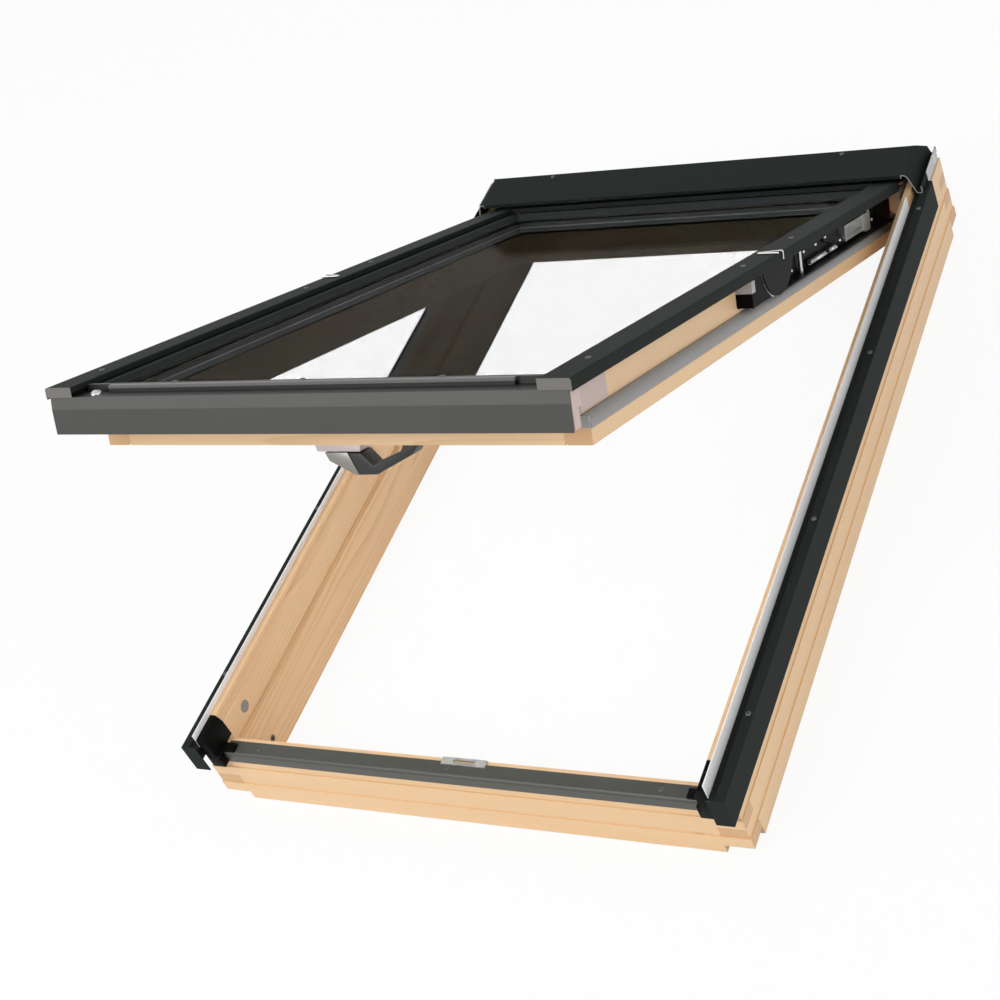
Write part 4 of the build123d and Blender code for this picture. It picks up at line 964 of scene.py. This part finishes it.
# Handle
# A die cast housing and a wedge shaped lever in satin silver, with a soft black grip that
# rises to the side as an open hook. All edges are well rounded.
HOUSING_ROUND = 0.0012
LEVER_ROUND = 0.0008
GRIP_ROUND = 0.0022
handle_silver = finish("handle silver", (0.58, 0.51, 0.51), 0.30, 0.6, dust=0.0)
lever_silver = finish("lever silver", (0.29, 0.275, 0.255), 0.26, 0.85, dust=0.0)
grip_black = finish("black grip", (0.010, 0.011, 0.010))
housing = rounded_copy("handle_housing", "cast_handle_housing", HOUSING_ROUND, 3)
finished(housing, handle_silver, "sash", "handle_metal", "handle_housing")
lever = rounded_copy("handle_lever", "cast_handle_lever", LEVER_ROUND, 3)
finished(lever, lever_silver, "lever", "handle_metal", "handle_lever")
grip = rounded_copy("handle_grip", "soft_handle_grip", GRIP_ROUND, 4)
finished(grip, grip_black, "lever", "black_moulding", "handle_grip")


# Studio
# A pale floor under the frame, two plain soft lamps and a white surround. Floor and surround
# stay white where they are seen through the tinted panes.
WHITE = (1.0, 1.0, 1.0)
WHITE_THROUGH_GLASS = tuple(1.0 / (channel * channel) for channel in GLASS_TINT)
FLOOR_COLOUR = (0.90, 0.90, 0.90, 1)
FLOOR_REACH = 40
FLOOR_WHITENESS = 0.91            # the rest of the seen floor takes light and shadow
SURROUND_LIGHT = 0.62             # what the surround gives the object; it is seen at 1
AIM = (0, 0, 0.2)
CAMERA_SENSOR = 36.0
CAMERA_LENS = 66.885
CAMERA_PLACE = (1.199032, -1.688220, 1.802585)
CAMERA_RIGHT = Vector((0.871017, 0.347016, -0.347720))
CAMERA_UP = Vector((-0.014941, 0.726210, 0.687311))


def seen_rays(tree):
    """1 where a ray is seen directly, mirrored or through glass, and the white it then gets."""
    path = tree.nodes.new("ShaderNodeLightPath").outputs
    seen = math_node(tree, "MAXIMUM", path["Is Camera Ray"], path["Is Glossy Ray"])
    seen = math_node(tree, "MAXIMUM", seen, path["Is Transmission Ray"])
    white = mix_colour(tree, path["Is Transmission Ray"], WHITE, WHITE_THROUGH_GLASS)
    return seen, white


floor_mesh = bpy.data.meshes.new("floor")
floor_corners = [(x * FLOOR_REACH, y * FLOOR_REACH, 0)
                 for x, y in ((-1, -1), (1, -1), (1, 1), (-1, 1))]
floor_mesh.from_pydata(floor_corners, [], [(0, 1, 2, 3)])
floor = add_object("floor", floor_mesh)
floor_material, floor_tree, floor_shader = material_with_shader("pale floor")
floor_shader.inputs["Base Color"].default_value = FLOOR_COLOUR
floor_shader.inputs["Roughness"].default_value = 0.9
floor_shader.inputs["Specular IOR Level"].default_value = 0.0
seen, white = seen_rays(floor_tree)
glow = floor_tree.nodes.new("ShaderNodeEmission")
glow.inputs["Strength"].default_value = 1.0
floor_tree.links.new(white, glow.inputs["Color"])
mixed = floor_tree.nodes.new("ShaderNodeMixShader")
floor_tree.links.new(math_node(floor_tree, "MULTIPLY", seen, FLOOR_WHITENESS), mixed.inputs[0])
floor_tree.links.new(floor_shader.outputs[0], mixed.inputs[1])
floor_tree.links.new(glow.outputs[0], mixed.inputs[2])
floor_tree.links.new(mixed.outputs[0], floor_tree.nodes["Material Output"].inputs["Surface"])
floor_mesh.materials.append(floor_material)

world = bpy.data.worlds.new("surround")
bpy.context.scene.world = world
world.use_nodes = True
world_tree = world.node_tree
backdrop = world_tree.nodes["Background"]
seen, white = seen_rays(world_tree)
strength = scaled(world_tree, seen, 1.0 - SURROUND_LIGHT, SURROUND_LIGHT)
world_tree.links.new(strength, backdrop.inputs["Strength"])
world_tree.links.new(white, backdrop.inputs["Color"])


def soft_lamp(name, place, size, power):
    """A square area lamp that faces the frame."""
    data = bpy.data.lights.new(name, "AREA")
    data.shape = "SQUARE"
    data.size = size
    data.energy = power
    lamp = add_object(name, data)
    lamp.location = place
    lamp.rotation_mode = "QUATERNION"
    lamp.rotation_quaternion = (Vector(AIM) - Vector(place)).to_track_quat("-Z", "Y")


soft_lamp("key", (-1.6, -3.0, 3.4), 2.6, 95)
soft_lamp("fill", (3.4, -1.2, 2.2), 2.4, 28)

camera_data = bpy.data.cameras.new("camera")
camera_data.sensor_width = CAMERA_SENSOR
camera_data.lens = CAMERA_LENS
camera = add_object("camera", camera_data)
camera.matrix_world = Matrix.Translation(CAMERA_PLACE) @ Matrix((
    CAMERA_RIGHT, CAMERA_UP, CAMERA_RIGHT.cross(CAMERA_UP),
)).transposed().to_4x4()
bpy.context.scene.camera = camera
bpy.context.scene.view_settings.view_transform = "Standard"
